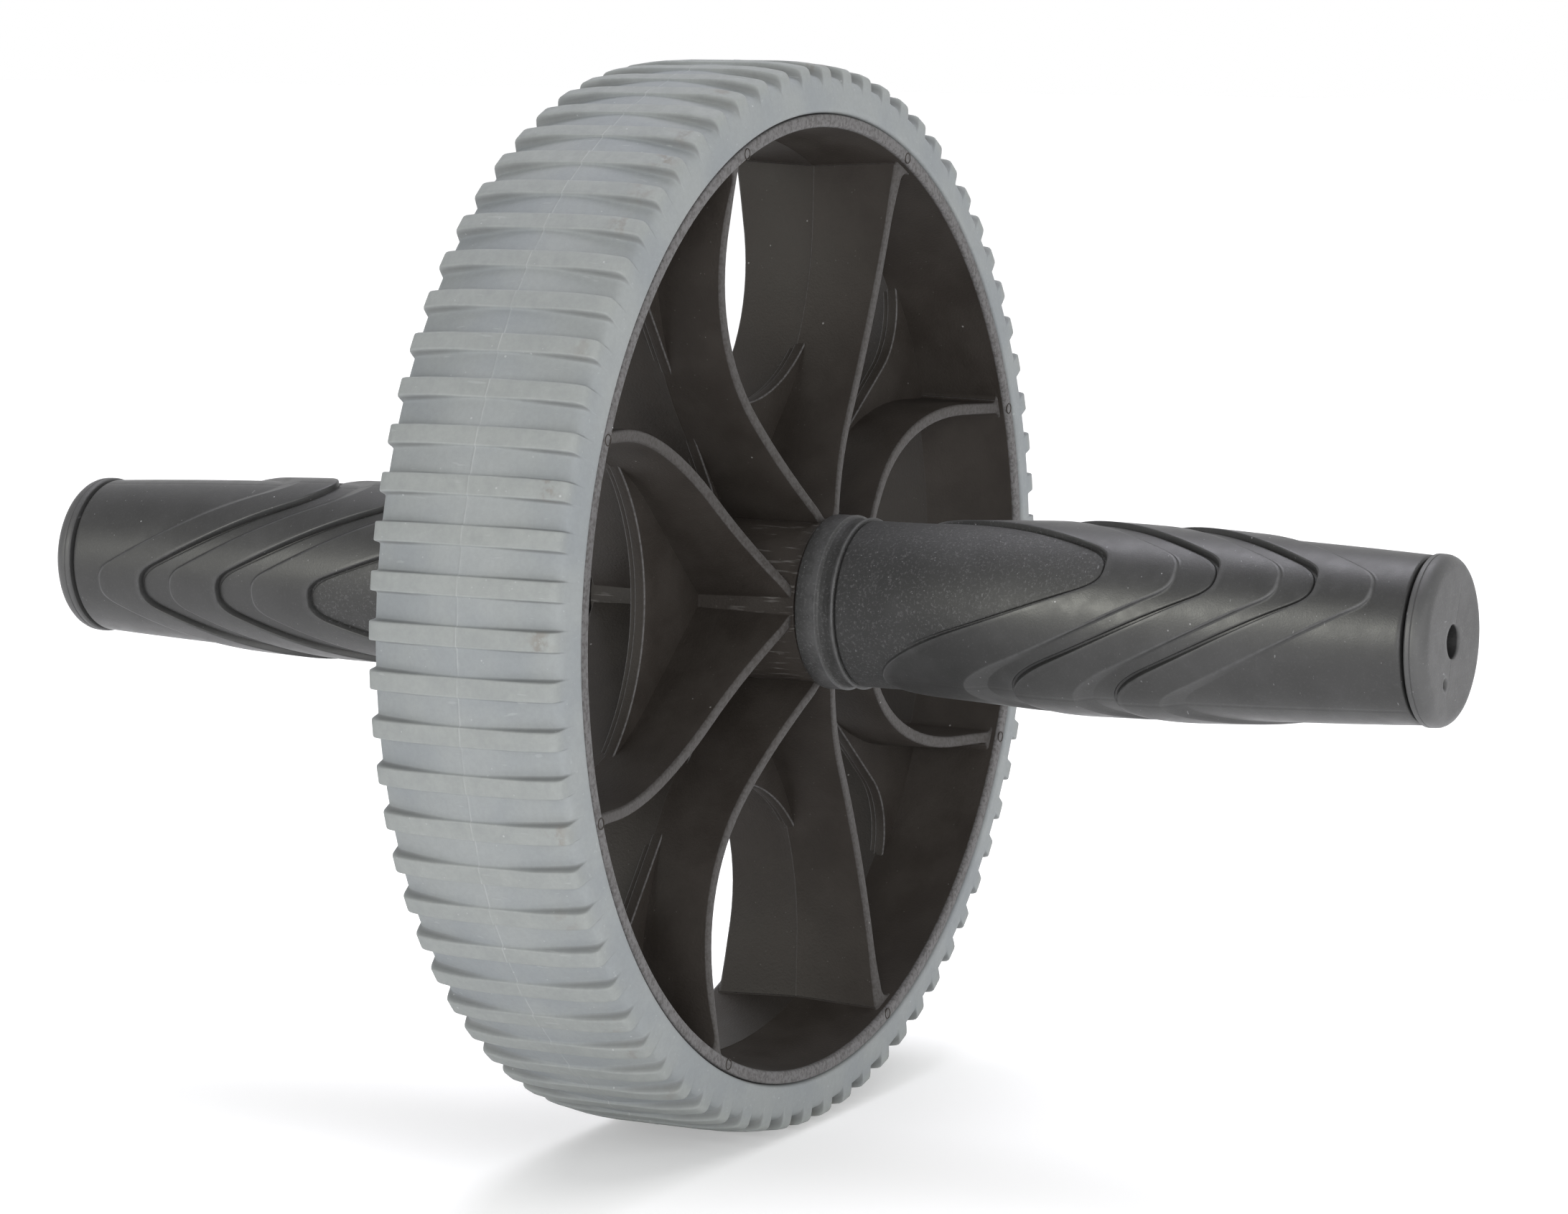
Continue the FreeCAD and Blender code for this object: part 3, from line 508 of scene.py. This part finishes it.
def make_vane(fillets):
    """Closed shell of one vane, with how much each point belongs to its edge."""
    edge_round, flash = 0.45, 0.1
    # Paler vane edges, flash and middle line: wear and painted highlight
    vane_edge_wear_and_sheen, rim_flash_wear_and_sheen, middle_line_wear_and_sheen = 0.33, 0.5, 0.3
    middle = vane_sides(vane_thickness, rim_inner_middle, fillets)
    edge = vane_sides(vane_thickness - vane_draft * draft_half / vane_draft_width,
                      rim_inner_middle + draft_half / rim_half, fillets)
    count = len(middle[0])
    reach = np.linalg.norm((middle[0] + middle[1]) / 2, axis=1)
    half = dish_half(reach)
    flat = half - edge_round
    levels = [-flat, -0.6 * flat, -0.25 * flat, 0 * flat - 0.3, 0 * flat - 0.12, 0 * flat, 0 * flat + 0.12,
              0 * flat + 0.3, 0.25 * flat, 0.6 * flat, flat]
    lift = [0, 0, 0, 0, 0.5, 1, 0.5, 0, 0, 0, 0]

    def on_side(side, y):
        t = (np.abs(y) / draft_half)[:, None]
        return middle[side] * (1 - t) + edge[side] * t

    def point_row(side, y, inset):
        near, far = on_side(side, y), on_side(1 - side, y)
        way = (far - near) / np.linalg.norm(far - near, axis=1)[:, None]
        p = near + way * inset
        return np.stack([p[:, 0], y, p[:, 1]], 1)

    loop, belongs = [], []
    for side, sign in ((0, 1), (1, -1)):
        for y, up in zip(levels, lift):
            loop.append(point_row(side, sign * y, -flash * up))
            belongs.append(0.0)
        # Round over this side's edge, then back down the other side's
        for next_side, steps in ((side, (1, 2, 3, 4)), (1 - side, (4, 3, 2, 1))):
            for k in steps:
                a = math.pi / 2 * k / 4
                y = sign * (flat + edge_round * math.sin(a))
                loop.append(point_row(next_side, y, edge_round * (1 - math.cos(a))))
                belongs.append(vane_edge_wear_and_sheen)
    loop = np.array(loop)
    turns = len(loop)
    points = loop.transpose(1, 0, 2).reshape(-1, 3)
    faces = grid_faces(count, turns)
    faces.append(list(range(turns))[::-1])
    faces.append([(count - 1) * turns + i for i in range(turns)])
    points, faces = facing_out(points, faces)
    belongs = np.tile(belongs, (count, 1))
    side_start = 0 if fillets[1] < fillets[-1] else len(levels) + 8
    flash_row = count - 1 - len(fillet_rows) + fillet_rows.index(0.5)
    belongs[flash_row, side_start:side_start + len(levels)] = rim_flash_wear_and_sheen
    middle_line = len(levels) + 8 + len(levels) // 2
    belongs[:, middle_line] = np.maximum(belongs[:, middle_line], middle_line_wear_and_sheen)
    return points, faces, belongs.ravel()


def turned_about_axle(points, angle):
    """Points turned about the axle, from +X toward +Z."""
    x, y, z = points.T
    c, s = math.cos(angle), math.sin(angle)
    return np.stack([c * x - s * z, y, s * x + c * z], 1)


def ring_run(radius, count):
    t = np.arange(count) * 2 * math.pi / count
    return np.stack([radius * np.cos(t), radius * np.sin(t)], 1)


def plate(outlines, low, high, inset):
    """Plate between two levels, its outlines drawn in by inset, and which of its points are on an edge."""
    half = (high - low) / 2
    curve = bpy.data.curves.new("plate_outline", "CURVE")
    curve.dimensions = "2D"
    curve.fill_mode = "BOTH"
    curve.extrude = half - web_edge_round
    curve.bevel_depth = web_edge_round
    curve.bevel_resolution = 2
    curve.offset = -web_edge_round - inset
    for outline in outlines:
        spline = curve.splines.new("POLY")
        spline.points.add(len(outline) - 1)
        spline.use_cyclic_u = True
        for p, (x, y) in zip(spline.points, outline):
            p.co = (x, y, 0, 1)
    holder = bpy.data.objects.new("plate_outline", curve)
    bpy.context.scene.collection.objects.link(holder)
    bpy.context.view_layer.update()
    mesh = bpy.data.meshes.new_from_object(holder.evaluated_get(bpy.context.evaluated_depsgraph_get()))
    points = np.array([v.co for v in mesh.vertices])
    faces = [list(p.vertices) for p in mesh.polygons]
    bpy.data.objects.remove(holder)
    bpy.data.curves.remove(curve)
    bpy.data.meshes.remove(mesh)
    height = np.abs(points[:, 2])
    on_edge = (height > half - web_edge_round + 0.02) & (height < half - 0.02)
    points = np.stack([points[:, 0], (low + high) / 2 - points[:, 2], points[:, 1]], 1)
    return facing_out(points, faces), on_edge * web_edge_wear_and_sheen


def make_web():
    """Pierced web: a window in each petal and a tapered slot between petals, parted across its thickness."""
    hidden_half = petal_half_width - window_half_gap
    reach, outside, inside = 81.2, 82.2, 11.5
    outlines = [ring_run(outside, 360), ring_run(inside, 72)]
    bow = math.asin(hidden_half / window_radius)
    t = np.linspace(math.pi - bow, math.pi + bow, 65)
    back = np.stack([window_nose + window_radius + window_radius * np.cos(t), window_radius * np.sin(t)], 1)
    mouth = math.asin(hidden_half / reach)
    t = np.linspace(-mouth, mouth, 33)
    petal = np.concatenate([back, np.stack([reach * np.cos(t), reach * np.sin(t)], 1)])
    lean = math.asin((slot_end_radius - slot_root_radius) / (slot_end - slot_root))
    t = np.linspace(-math.pi / 2 - lean, math.pi / 2 + lean, 41)
    end = np.stack([slot_end + slot_end_radius * np.cos(t), slot_end_radius * np.sin(t)], 1)
    t = np.linspace(math.pi / 2 + lean, 3 * math.pi / 2 - lean, 25)
    root = np.stack([slot_root + slot_root_radius * np.cos(t), slot_root_radius * np.sin(t)], 1)
    slot = np.concatenate([end, root])
    for k in range(4):
        for outline, turn in ((petal, k * math.pi / 2), (slot, (k + 0.5) * math.pi / 2)):
            c, s = math.cos(turn), math.sin(turn)
            outlines.append(outline @ np.array([[c, s], [-s, c]]))
    return [plate(outlines, -web_half, web_parting, 0),
            plate(outlines, web_parting - web_overlap, web_half, web_step)]


def make_core():
    # Rim and hub are turned; a thin ridge of flash stands on the mould line of each
    rim = lathe(rounded([
        (rim_inner_middle - 0.16, 0, 0), (rim_inner_middle, -0.22, 0),
        (rim_inner_edge - 0.04, -rim_half + 0.8, 0), (rim_inner_edge, -rim_half, 0.55),
        (rim_outer, -rim_half, 0.35), (rim_outer, -rim_rib_half, 0), (rim_rib, -rim_rib_half, 0),
        (rim_rib, rim_rib_half, 0), (rim_outer, rim_rib_half, 0), (rim_outer, rim_half, 0.35),
        (rim_inner_edge, rim_half, 0.55), (rim_inner_edge - 0.04, rim_half - 0.8, 0),
        (rim_inner_middle, 0.22, 0)]), LEFT, 360)
    hub = lathe(rounded([
        (bush_seat, -bush_pocket_half, 0), (bush_pocket, -bush_pocket_half, 0),
        (bush_pocket, -hub_half, 0.15), (hub_end_radius, -hub_half, 0.35), (hub_radius, -0.25, 0),
        (hub_radius + 0.08, 0, 0),
        (hub_radius, 0.25, 0), (hub_end_radius, hub_half, 0.35), (bush_pocket, hub_half, 0.15),
        (bush_pocket, bush_pocket_half, 0), (bush_seat, bush_pocket_half, 0)]), LEFT)
    shells = [rim, hub]
    edge = [np.zeros(len(rim[0])), np.zeros(len(hub[0]))]
    # Paler rim edges: partly wear, partly a painted reflection of the bright surroundings
    rim_edge_wear_and_sheen, rim_edge_depth = 0.9, 0.6
    edge[0][np.abs(rim[0][:, 1]) > rim_half - rim_edge_depth] = rim_edge_wear_and_sheen
    for layer, layer_edge in make_web():
        shells.append(layer)
        edge.append(layer_edge)
    vanes = [make_vane(fillets) for fillets in vane_fillets]
    for k in range(4):
        vane_points, vane_faces, vane_edge = vanes[k % 2]
        for mirror in (1, -1):
            turn = k * math.pi / 2
            points = turned_about_axle(vane_points * [1, 1, mirror], turn)
            faces = vane_faces if mirror == 1 else [f[::-1] for f in vane_faces]
            shells.append((points, faces))
            edge.append(vane_edge)

    # Round ejector marks on the rim's edges where the vanes run in
    mark = []
    t = np.linspace(0, 2 * math.pi, 9)[:-1]
    around = np.linspace(0, 2 * math.pi, 33)[:-1]
    for a in around:
        for b in t:
            ring = mark_radius + mark_wire * math.cos(b)
            mark.append((ring * math.cos(a), mark_wire * math.sin(b), ring * math.sin(a)))
    mark = np.array(mark)
    mark_faces = grid_faces(len(around), len(t), wrap_rows=True)
    run_in_lean = math.atan2(petal_half_width, math.sqrt(vane_run_in ** 2 - petal_half_width ** 2))
    for k in range(4):
        for mirror in (1, -1):
            for side in (RIGHT, LEFT):
                spot = np.array([[mark_reach, side * (rim_half - mark_sink), 0]])
                spot = turned_about_axle(spot, k * math.pi / 2 + mirror * run_in_lean)
                shells.append(facing_out(mark + spot, mark_faces))
                edge.append(np.zeros(len(mark)))

    turn = math.radians(wheel_turn_deg)
    shells = [(turned_about_axle(p, turn), f) for p, f in shells]
    hub_value = [np.zeros(len(p)) for p, _ in shells]
    hub_value[1][:] = smooth(np.abs(hub[0][:, 1]), 8, 18)
    core = make_piece("wheel_core_moulding", shells, 40, {
        "edge": np.concatenate(edge), "hub": np.concatenate(hub_value)})
    settle(core, "wheel", "core_plastic", "wheel_core")


# Handles: collar and core, chevron-banded sleeve and end cap on each side

sleeve_start, sleeve_end, sleeve_bore = 27.3, 127.85, 11.65
neck, belly, end_radius = 14.2, 15.5, 13.8
swell_start, swell_length, belly_end = 33.8, 36.0, 77.8
taper_power = 1.6
# Step line and outer line of each band as tip, fall to the valley and turn over which the valley is rounded,
# then the half width of the bevel that the outer line widens into
bands = (((76.0, 41.5, 46), (88.4, 36.5, 26), 2.05),
         ((95.7, 36.6, 30), (106.2, 34.5, 28), 1.65),
         ((112.5, 34.8, 28), (122.0, 34.5, 16), 2.05))
band_step, band_tail, band_tail_valley = 0.85, 0.45, 0.8
edge_at_tip = 0.2
tip_round, tip_power = 16, 3
# Foot of a band's step: offsets across the line, share of the groove's depth and share of the step's height
step_rows = (-0.7, -0.54, -0.46, -0.14, -0.05, 0.03, 0.12, 0.3)
step_groove = (0, 0.15, 1, 1, 0.6, 0, 0, 0)
step_rise = (0, 0, 0, 0, 0.2, 0.72, 0.95, 1)
groove_depth = 0.4
grip_turn_deg = {RIGHT: 139.4, LEFT: 193.0}


def grip_radius(station):
    """Radius of the plain grip at a distance from the wheel's middle: neck, swell, belly and taper."""
    way = np.clip((station - swell_start) / swell_length, 0, 1)
    swell = neck + (belly - neck) * 0.5 * (1 - np.cos(math.pi * way))
    share = np.clip((station - belly_end) / (sleeve_end - belly_end), 0, 1)
    return swell - (belly - end_radius) * share ** taper_power


def chevron_share(off_tip, valley_round):
    """Part of a chevron's fall at degrees off its tip: rounded tip, straight arm, rounded valley."""
    arm_start = tip_round * (1 - 1 / tip_power)
    arm = 90 - arm_start - valley_round / 2
    near_tip = tip_round / tip_power * (off_tip / tip_round) ** tip_power / arm
    near_valley = 1 - (90 - off_tip) ** 2 / (2 * valley_round * arm)
    share = np.where(off_tip < tip_round, near_tip, (off_tip - arm_start) / arm)
    return np.where(off_tip > 90 - valley_round, near_valley, share)


def make_sleeve(side, name):
    cols = 288
    turn = math.radians(grip_turn_deg[side])
    angles = np.arange(cols) * 2 * math.pi / cols + turn
    off_tip = np.degrees(np.arcsin(np.abs(np.sin(angles - turn))))
    valley = np.clip((off_tip - 36) / 46, 0, 1)
    on_arm = smooth(off_tip, 0, tip_round) * (1 - smooth(off_tip, 60, 90))
    lean = 1 + 1.3 * on_arm

    # Rows of stations from the wheel outward that follow the chevron lines
    rows = [np.full(cols, sleeve_start + 0.6)]

    def fill(to, count):
        start = rows[-1]
        rows.extend(start + (to - start) * t for t in np.linspace(0, 1, count + 1)[1:])

    drawn = []
    for k, ((tip, fall, rounding), (tail_tip, tail_fall, tail_rounding), half) in enumerate(bands):
        step_line = tip - fall * chevron_share(off_tip, rounding)
        tail = tail_tip - tail_fall * chevron_share(off_tip, tail_rounding)
        spread = edge_at_tip + (half - edge_at_tip) * valley
        drawn.append((step_line, tail - spread, tail + spread))
        fill(step_line + step_rows[0] * lean, 40 if k == 0 else 7)
        rows.extend(step_line + d * lean for d in step_rows[1:])
        fill(tail - spread - 0.3 * lean, 9)
        rows.extend(tail - spread + d * lean for d in (-0.06, 0.06))
        rows.append(tail)
        rows.extend(tail + spread + d * lean for d in (-0.06, 0.06, 0.3))
    fill(np.full(cols, sleeve_end - 0.5), 30)
    station = np.array(rows)

    # A band steps up over a groove on its wheel side; its outer edge is thin at the tips and a bevel
    # in the valleys
    height = 0
    for k, (step_line, edge_start, edge_end) in enumerate(drawn):
        past = (station - step_line) / lean
        step = np.interp(past, step_rows, step_rise)
        fading = smooth(off_tip, 40, 66) if k == 0 else 0.6 * smooth(off_tip, 66, 90)
        groove = groove_depth * (1 - fading) * np.interp(past, step_rows, step_groove)
        first = band_step * (1 - 0.3 * valley * (k == 0))
        last = band_tail + (band_tail_valley - band_tail) * valley
        top = first + (last - first) * np.clip((station - step_line) / (edge_start - step_line), 0, 1)
        left = 1 - np.clip((station - edge_start) / (edge_end - edge_start), 0, 1)
        height = height + step * top * left - groove

    # Values for the finish: matte up to the first band, paler along the bands' edges as wear and painted
    # highlight
    matte = 1 - np.interp((station - drawn[0][0]) / lean, step_rows, step_rise)
    wear_and_sheen = 0
    for step_line, edge_start, _ in drawn:
        wear_and_sheen = wear_and_sheen + np.exp(-((station - edge_start) / 0.2) ** 2) * (1 - 0.75 * valley)
        wear_and_sheen = wear_and_sheen + 0.4 * np.exp(-((station - step_line - 0.2 * lean) / 0.25) ** 2)

    # A faint seam runs along the grip midway between the chevron tips
    radius = grip_radius(station) + height
    from_seam = np.abs(np.abs((angles - turn + math.pi) % (2 * math.pi) - math.pi) - math.pi / 2)
    radius = radius - 0.05 * np.exp(-(from_seam / 0.012) ** 2)

    # Rounded ends and the bore close the shell
    ends_low = [(sleeve_bore, sleeve_start), (neck - 0.5, sleeve_start),
                (neck - 0.15, sleeve_start + 0.12), (neck, sleeve_start + 0.4)]
    ends_high = [(end_radius - 0.05, sleeve_end - 0.3), (end_radius - 0.25, sleeve_end - 0.06),
                 (end_radius - 0.6, sleeve_end), (sleeve_bore, sleeve_end)]
    low = np.array(ends_low)[:, :, None] + np.zeros(cols)
    high = np.array(ends_high)[:, :, None] + np.zeros(cols)
    radius = np.concatenate([low[:, 0], radius, high[:, 0]])
    station = np.concatenate([low[:, 1], station, high[:, 1]])
    matte = np.concatenate([1 + 0 * low[:, 0], matte, 0 * high[:, 0]])
    wear_and_sheen = np.concatenate([0 * low[:, 0], wear_and_sheen, 0 * high[:, 0]])
    points = np.stack([radius * np.cos(angles), side * station, radius * np.sin(angles)], -1)
    shell = facing_out(points.reshape(-1, 3), grid_faces(len(radius), cols, wrap_rows=True))
    sleeve = make_piece(name + "_grip_rubber", [shell], 60, {"matte": matte, "wear_and_sheen": wear_and_sheen})
    settle(sleeve, "handle_bar", "grip_rubber", name + "_grip_sleeve")


def make_collar(side, name):
    """Handle core: stepped collar beside the wheel and the tube under the sleeve."""
    profile = rounded([
        (7.03, 20.2, 0), (14.95, 20.2, 0.45), (14.95, 23.75, 0.12), (15.02, 23.95, 0.1), (14.6, 24.2, 0.1),
        (14.42, 24.5, 0.2), (14.3, 25.3, 0.8), (14.42, 26.3, 0.6), (14.72, 27.0, 0.14), (14.5, 27.3, 0.1),
        (11.6, 27.3, 0), (11.6, 127.7, 0.3), (9.45, 127.7, 0), (9.45, 118.7, 0), (7.03, 118.7, 0)])
    shell = lathe(profile, side)
    station, radius = np.abs(shell[0][:, 1]), np.hypot(shell[0][:, 0], shell[0][:, 2])
    # The collar's two crests are paler: wear and painted highlight
    crests, crest_width = ((14.98, 23.82), (14.68, 26.95)), 0.18
    wear_and_sheen = sum(np.exp(-((radius - r) ** 2 + (station - s) ** 2) / crest_width ** 2) for r, s in crests)
    matte = np.full(len(wear_and_sheen), 0.8)
    collar = make_piece(name + "_handle_core", [shell], 50, {"matte": matte, "wear_and_sheen": wear_and_sheen})
    settle(collar, "handle_bar", "handle_plastic", name + "_grip_core")


def make_cap(side, name):
    cols = 240
    face, flat, vent = 132.0, 11.5, 2.75
    plug, plug_end, lid = 9.4, 120.7, 128.4
    gate_reach, gate_radius = 7.5, 0.85
    profile = list(rounded([
        (vent, plug_end, 0), (plug, plug_end, 0.5), (plug, lid, 0), (13.9, lid, 0.3), (14.12, 128.7, 0.12),
        (14.12, 129.3, 0.06), (13.95, 129.42, 0.05), (14.1, 129.54, 0.06), (14.1, face, 2.2),
        (flat, face, 0)], 6))
    profile += [np.array([r, face]) for r in np.linspace(11.1, 3.4, 25)]
    vent_mouth = ((3.15, face - 0.03), (2.95, face - 0.12), (2.8, face - 0.3), (vent, face - 0.6),
                  (vent, 126.0))
    profile += [np.array(p) for p in vent_mouth]
    profile = np.array(profile)
    angles = np.arange(cols) * 2 * math.pi / cols
    r, s = profile[:, :1] + 0 * angles, profile[:, 1:] + 0 * angles
    on_face = smooth(s, face - 0.2, face - 0.01) * (r > 2.7)
    x, z = r * np.cos(angles), r * np.sin(angles)

    # Gate mark with a raised lip, a faint weld line on both sides of the vent, and a slightly dished face
    gate = math.radians(240)
    from_gate = np.hypot(x - gate_reach * math.cos(gate), z - gate_reach * math.sin(gate))
    pit = np.exp(-(from_gate / gate_radius) ** 4)
    lip = np.exp(-((from_gate - 1.25) / 0.3) ** 2)
    sink = 0.6 * pit - 0.065 * lip
    weld = math.radians(70)
    across = x * math.sin(weld) - z * math.cos(weld)
    sink += 0.05 * np.exp(-(across / 0.22) ** 2) * smooth(r, flat, 8)
    sink += 0.12 * (1 - (np.minimum(r, flat) / flat) ** 2)

    # A chipped burr on one side of the vent's mouth
    off_chip = (angles - math.radians(165) + math.pi) % (2 * math.pi) - math.pi
    chip = np.exp(-(off_chip / 0.45) ** 2)
    burr = chip * np.exp(-((r - 3.0) / 0.5) ** 2) * (s > face - 0.5)
    sink += 0.16 * burr
    # Painted shade inside the vent and in the gate's pit
    painted_recess_shade = np.maximum(on_face * pit, (r < 3) * smooth(s, face - 0.2, face - 0.6) * (s > 121))
    s = s - on_face * sink
    points = np.stack([x, side * s, z], -1)
    shell = facing_out(points.reshape(-1, 3), grid_faces(len(profile), cols, wrap_rows=True))
    # Paler lip round the gate and chipped burr: wear and painted highlight
    wear_and_sheen = np.maximum(0.8 * on_face * lip, 1.5 * burr)
    cap = make_piece(name + "_cap", [shell], 40, {"matte": 0.2 + 0.4 * on_face, "wear_and_sheen": wear_and_sheen, "painted_recess_shade": painted_recess_shade})
    settle(cap, "handle_bar", "cap_plastic", name + "_end_cap")


make_tread()
make_core()
for side, name in ((RIGHT, "right"), (LEFT, "left")):
    make_sleeve(side, name)
    make_collar(side, name)
    make_cap(side, name)

# The plain hidden pieces keep their solids
for node, slot in (("axle_tube", "axle_steel"), ("right_hub_bush", "bearing_plastic"),
                   ("left_hub_bush", "bearing_plastic"), ("right_thrust_washer", "bearing_plastic"),
                   ("left_thrust_washer", "bearing_plastic")):
    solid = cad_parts[node]
    solid.data.materials.clear()
    solid.data.materials.append(finishes[slot])


# Studio: pale floor that keeps the shadow, white surroundings, soft lamps

def seen_directly(tree):
    """1 where a surface is seen straight, in a reflection or through glass."""
    path = tree.nodes.new("ShaderNodeLightPath")
    total = path.outputs["Is Camera Ray"]
    for key in ("Is Glossy Ray", "Is Transmission Ray"):
        node = tree.nodes.new("ShaderNodeMath")
        node.operation = "MAXIMUM"
        tree.links.new(total, node.inputs[0])
        tree.links.new(path.outputs[key], node.inputs[1])
        total = node.outputs[0]
    return total


scene = bpy.context.scene
world = bpy.data.worlds.new("studio")
scene.world = world
world.use_nodes = True
tree = world.node_tree
tree.nodes.clear()
background = tree.nodes.new("ShaderNodeBackground")
strength = tree.nodes.new("ShaderNodeMapRange")
strength.inputs["To Min"].default_value = 0.6
strength.inputs["To Max"].default_value = 1.0
tree.links.new(seen_directly(tree), strength.inputs["Value"])

# The surroundings are white near the horizon and darker overhead
direction = tree.nodes.new("ShaderNodeSeparateXYZ")
tree.links.new(tree.nodes.new("ShaderNodeTexCoord").outputs["Generated"], direction.inputs[0])
overhead = tree.nodes.new("ShaderNodeMapRange")
overhead.interpolation_type = "SMOOTHSTEP"
for key, value in (("From Min", 0.15), ("From Max", 0.8), ("To Min", 1.0), ("To Max", 0.55)):
    overhead.inputs[key].default_value = value
tree.links.new(direction.outputs["Z"], overhead.inputs["Value"])
shaded = tree.nodes.new("ShaderNodeMath")
shaded.operation = "MULTIPLY"
tree.links.new(strength.outputs[0], shaded.inputs[0])
tree.links.new(overhead.outputs[0], shaded.inputs[1])
tree.links.new(shaded.outputs[0], background.inputs["Strength"])
background.inputs["Color"].default_value = (1, 1, 1, 1)
tree.links.new(background.outputs[0], tree.nodes.new("ShaderNodeOutputWorld").inputs[0])

floor_mesh = bpy.data.meshes.new("floor")
floor_reach, floor_level = 6.0, cad_box[0][2]
corners = [(x * floor_reach, y * floor_reach, floor_level) for x, y in ((-1, -1), (1, -1), (1, 1), (-1, 1))]
floor_mesh.from_pydata(corners, [], [(0, 1, 2, 3)])
floor = bpy.data.objects.new("floor", floor_mesh)
scene.collection.objects.link(floor)
paint = bpy.data.materials.new("floor_paint")
paint.use_nodes = True
tree = paint.node_tree
tree.nodes.clear()
matte = tree.nodes.new("ShaderNodeBsdfDiffuse")
matte.inputs["Color"].default_value = (0.8, 0.8, 0.8, 1)
glow = tree.nodes.new("ShaderNodeEmission")
level_of_glow = tree.nodes.new("ShaderNodeMath")
level_of_glow.operation = "MULTIPLY"
level_of_glow.inputs[1].default_value = 0.33
tree.links.new(seen_directly(tree), level_of_glow.inputs[0])
tree.links.new(level_of_glow.outputs[0], glow.inputs["Strength"])
both = tree.nodes.new("ShaderNodeAddShader")
tree.links.new(matte.outputs[0], both.inputs[0])
tree.links.new(glow.outputs[0], both.inputs[1])
tree.links.new(both.outputs[0], tree.nodes.new("ShaderNodeOutputMaterial").inputs[0])
floor_mesh.materials.append(paint)


def hang(name, data, place, target):
    holder = bpy.data.objects.new(name, data)
    holder.location = place
    holder.rotation_mode = "QUATERNION"
    holder.rotation_quaternion = (Vector(target) - Vector(place)).to_track_quat("-Z", "Y")
    scene.collection.objects.link(holder)


def softbox(name, place, size, watts, colour=(1, 1, 1)):
    data = bpy.data.lights.new(name, "AREA")
    data.shape = "RECTANGLE"
    data.size, data.size_y = size
    data.energy = watts
    data.color = colour
    hang(name, data, place, (0, 0, 0))


softbox("front", (-1.4, -0.74, 0.2), (0.8, 0.3), 6.5)
softbox("right", (-0.45, -1.5, 0.55), (0.7, 0.7), 4)
softbox("left", (-1.45, 0.57, 0.42), (0.45, 0.4), 14, (1, 1, 0.9))
softbox("top", (0.45, 0.2, 1.35), (0.8, 0.8), 10, (0.93, 0.92, 1))
scene.objects["left"].visible_diffuse = False

# A wide wash from above that falls on the floor alone
wash = bpy.data.lights.new("floor_wash", "SUN")
wash.energy = 1.5
wash.angle = 1.2
hang("floor_wash", wash, (0, 0, 2), (0, 0, 0))
washed = bpy.data.collections.new("washed")
washed.objects.link(floor)
scene.objects["floor_wash"].light_linking.receiver_collection = washed

# Camera fitted to the photograph, with its focal length in pixels
photo_width, focal_pixels = 2184, 6966.34
camera_data = bpy.data.cameras.new("camera")
camera_data.sensor_fit = "HORIZONTAL"
camera_data.sensor_width = 36.0
camera_data.lens = focal_pixels * camera_data.sensor_width / photo_width
camera = bpy.data.objects.new("camera", camera_data)
camera.location = (-0.75956, -0.40001, 0.10959)
azimuth, elevation = math.radians(62.863), math.radians(7.418)
forward = Vector((math.sin(azimuth) * math.cos(elevation), math.cos(azimuth) * math.cos(elevation),
                  -math.sin(elevation)))
camera.rotation_mode = "QUATERNION"
camera.rotation_quaternion = forward.to_track_quat("-Z", "Y")
scene.collection.objects.link(camera)
scene.camera = camera
scene.view_settings.view_transform = "Standard"
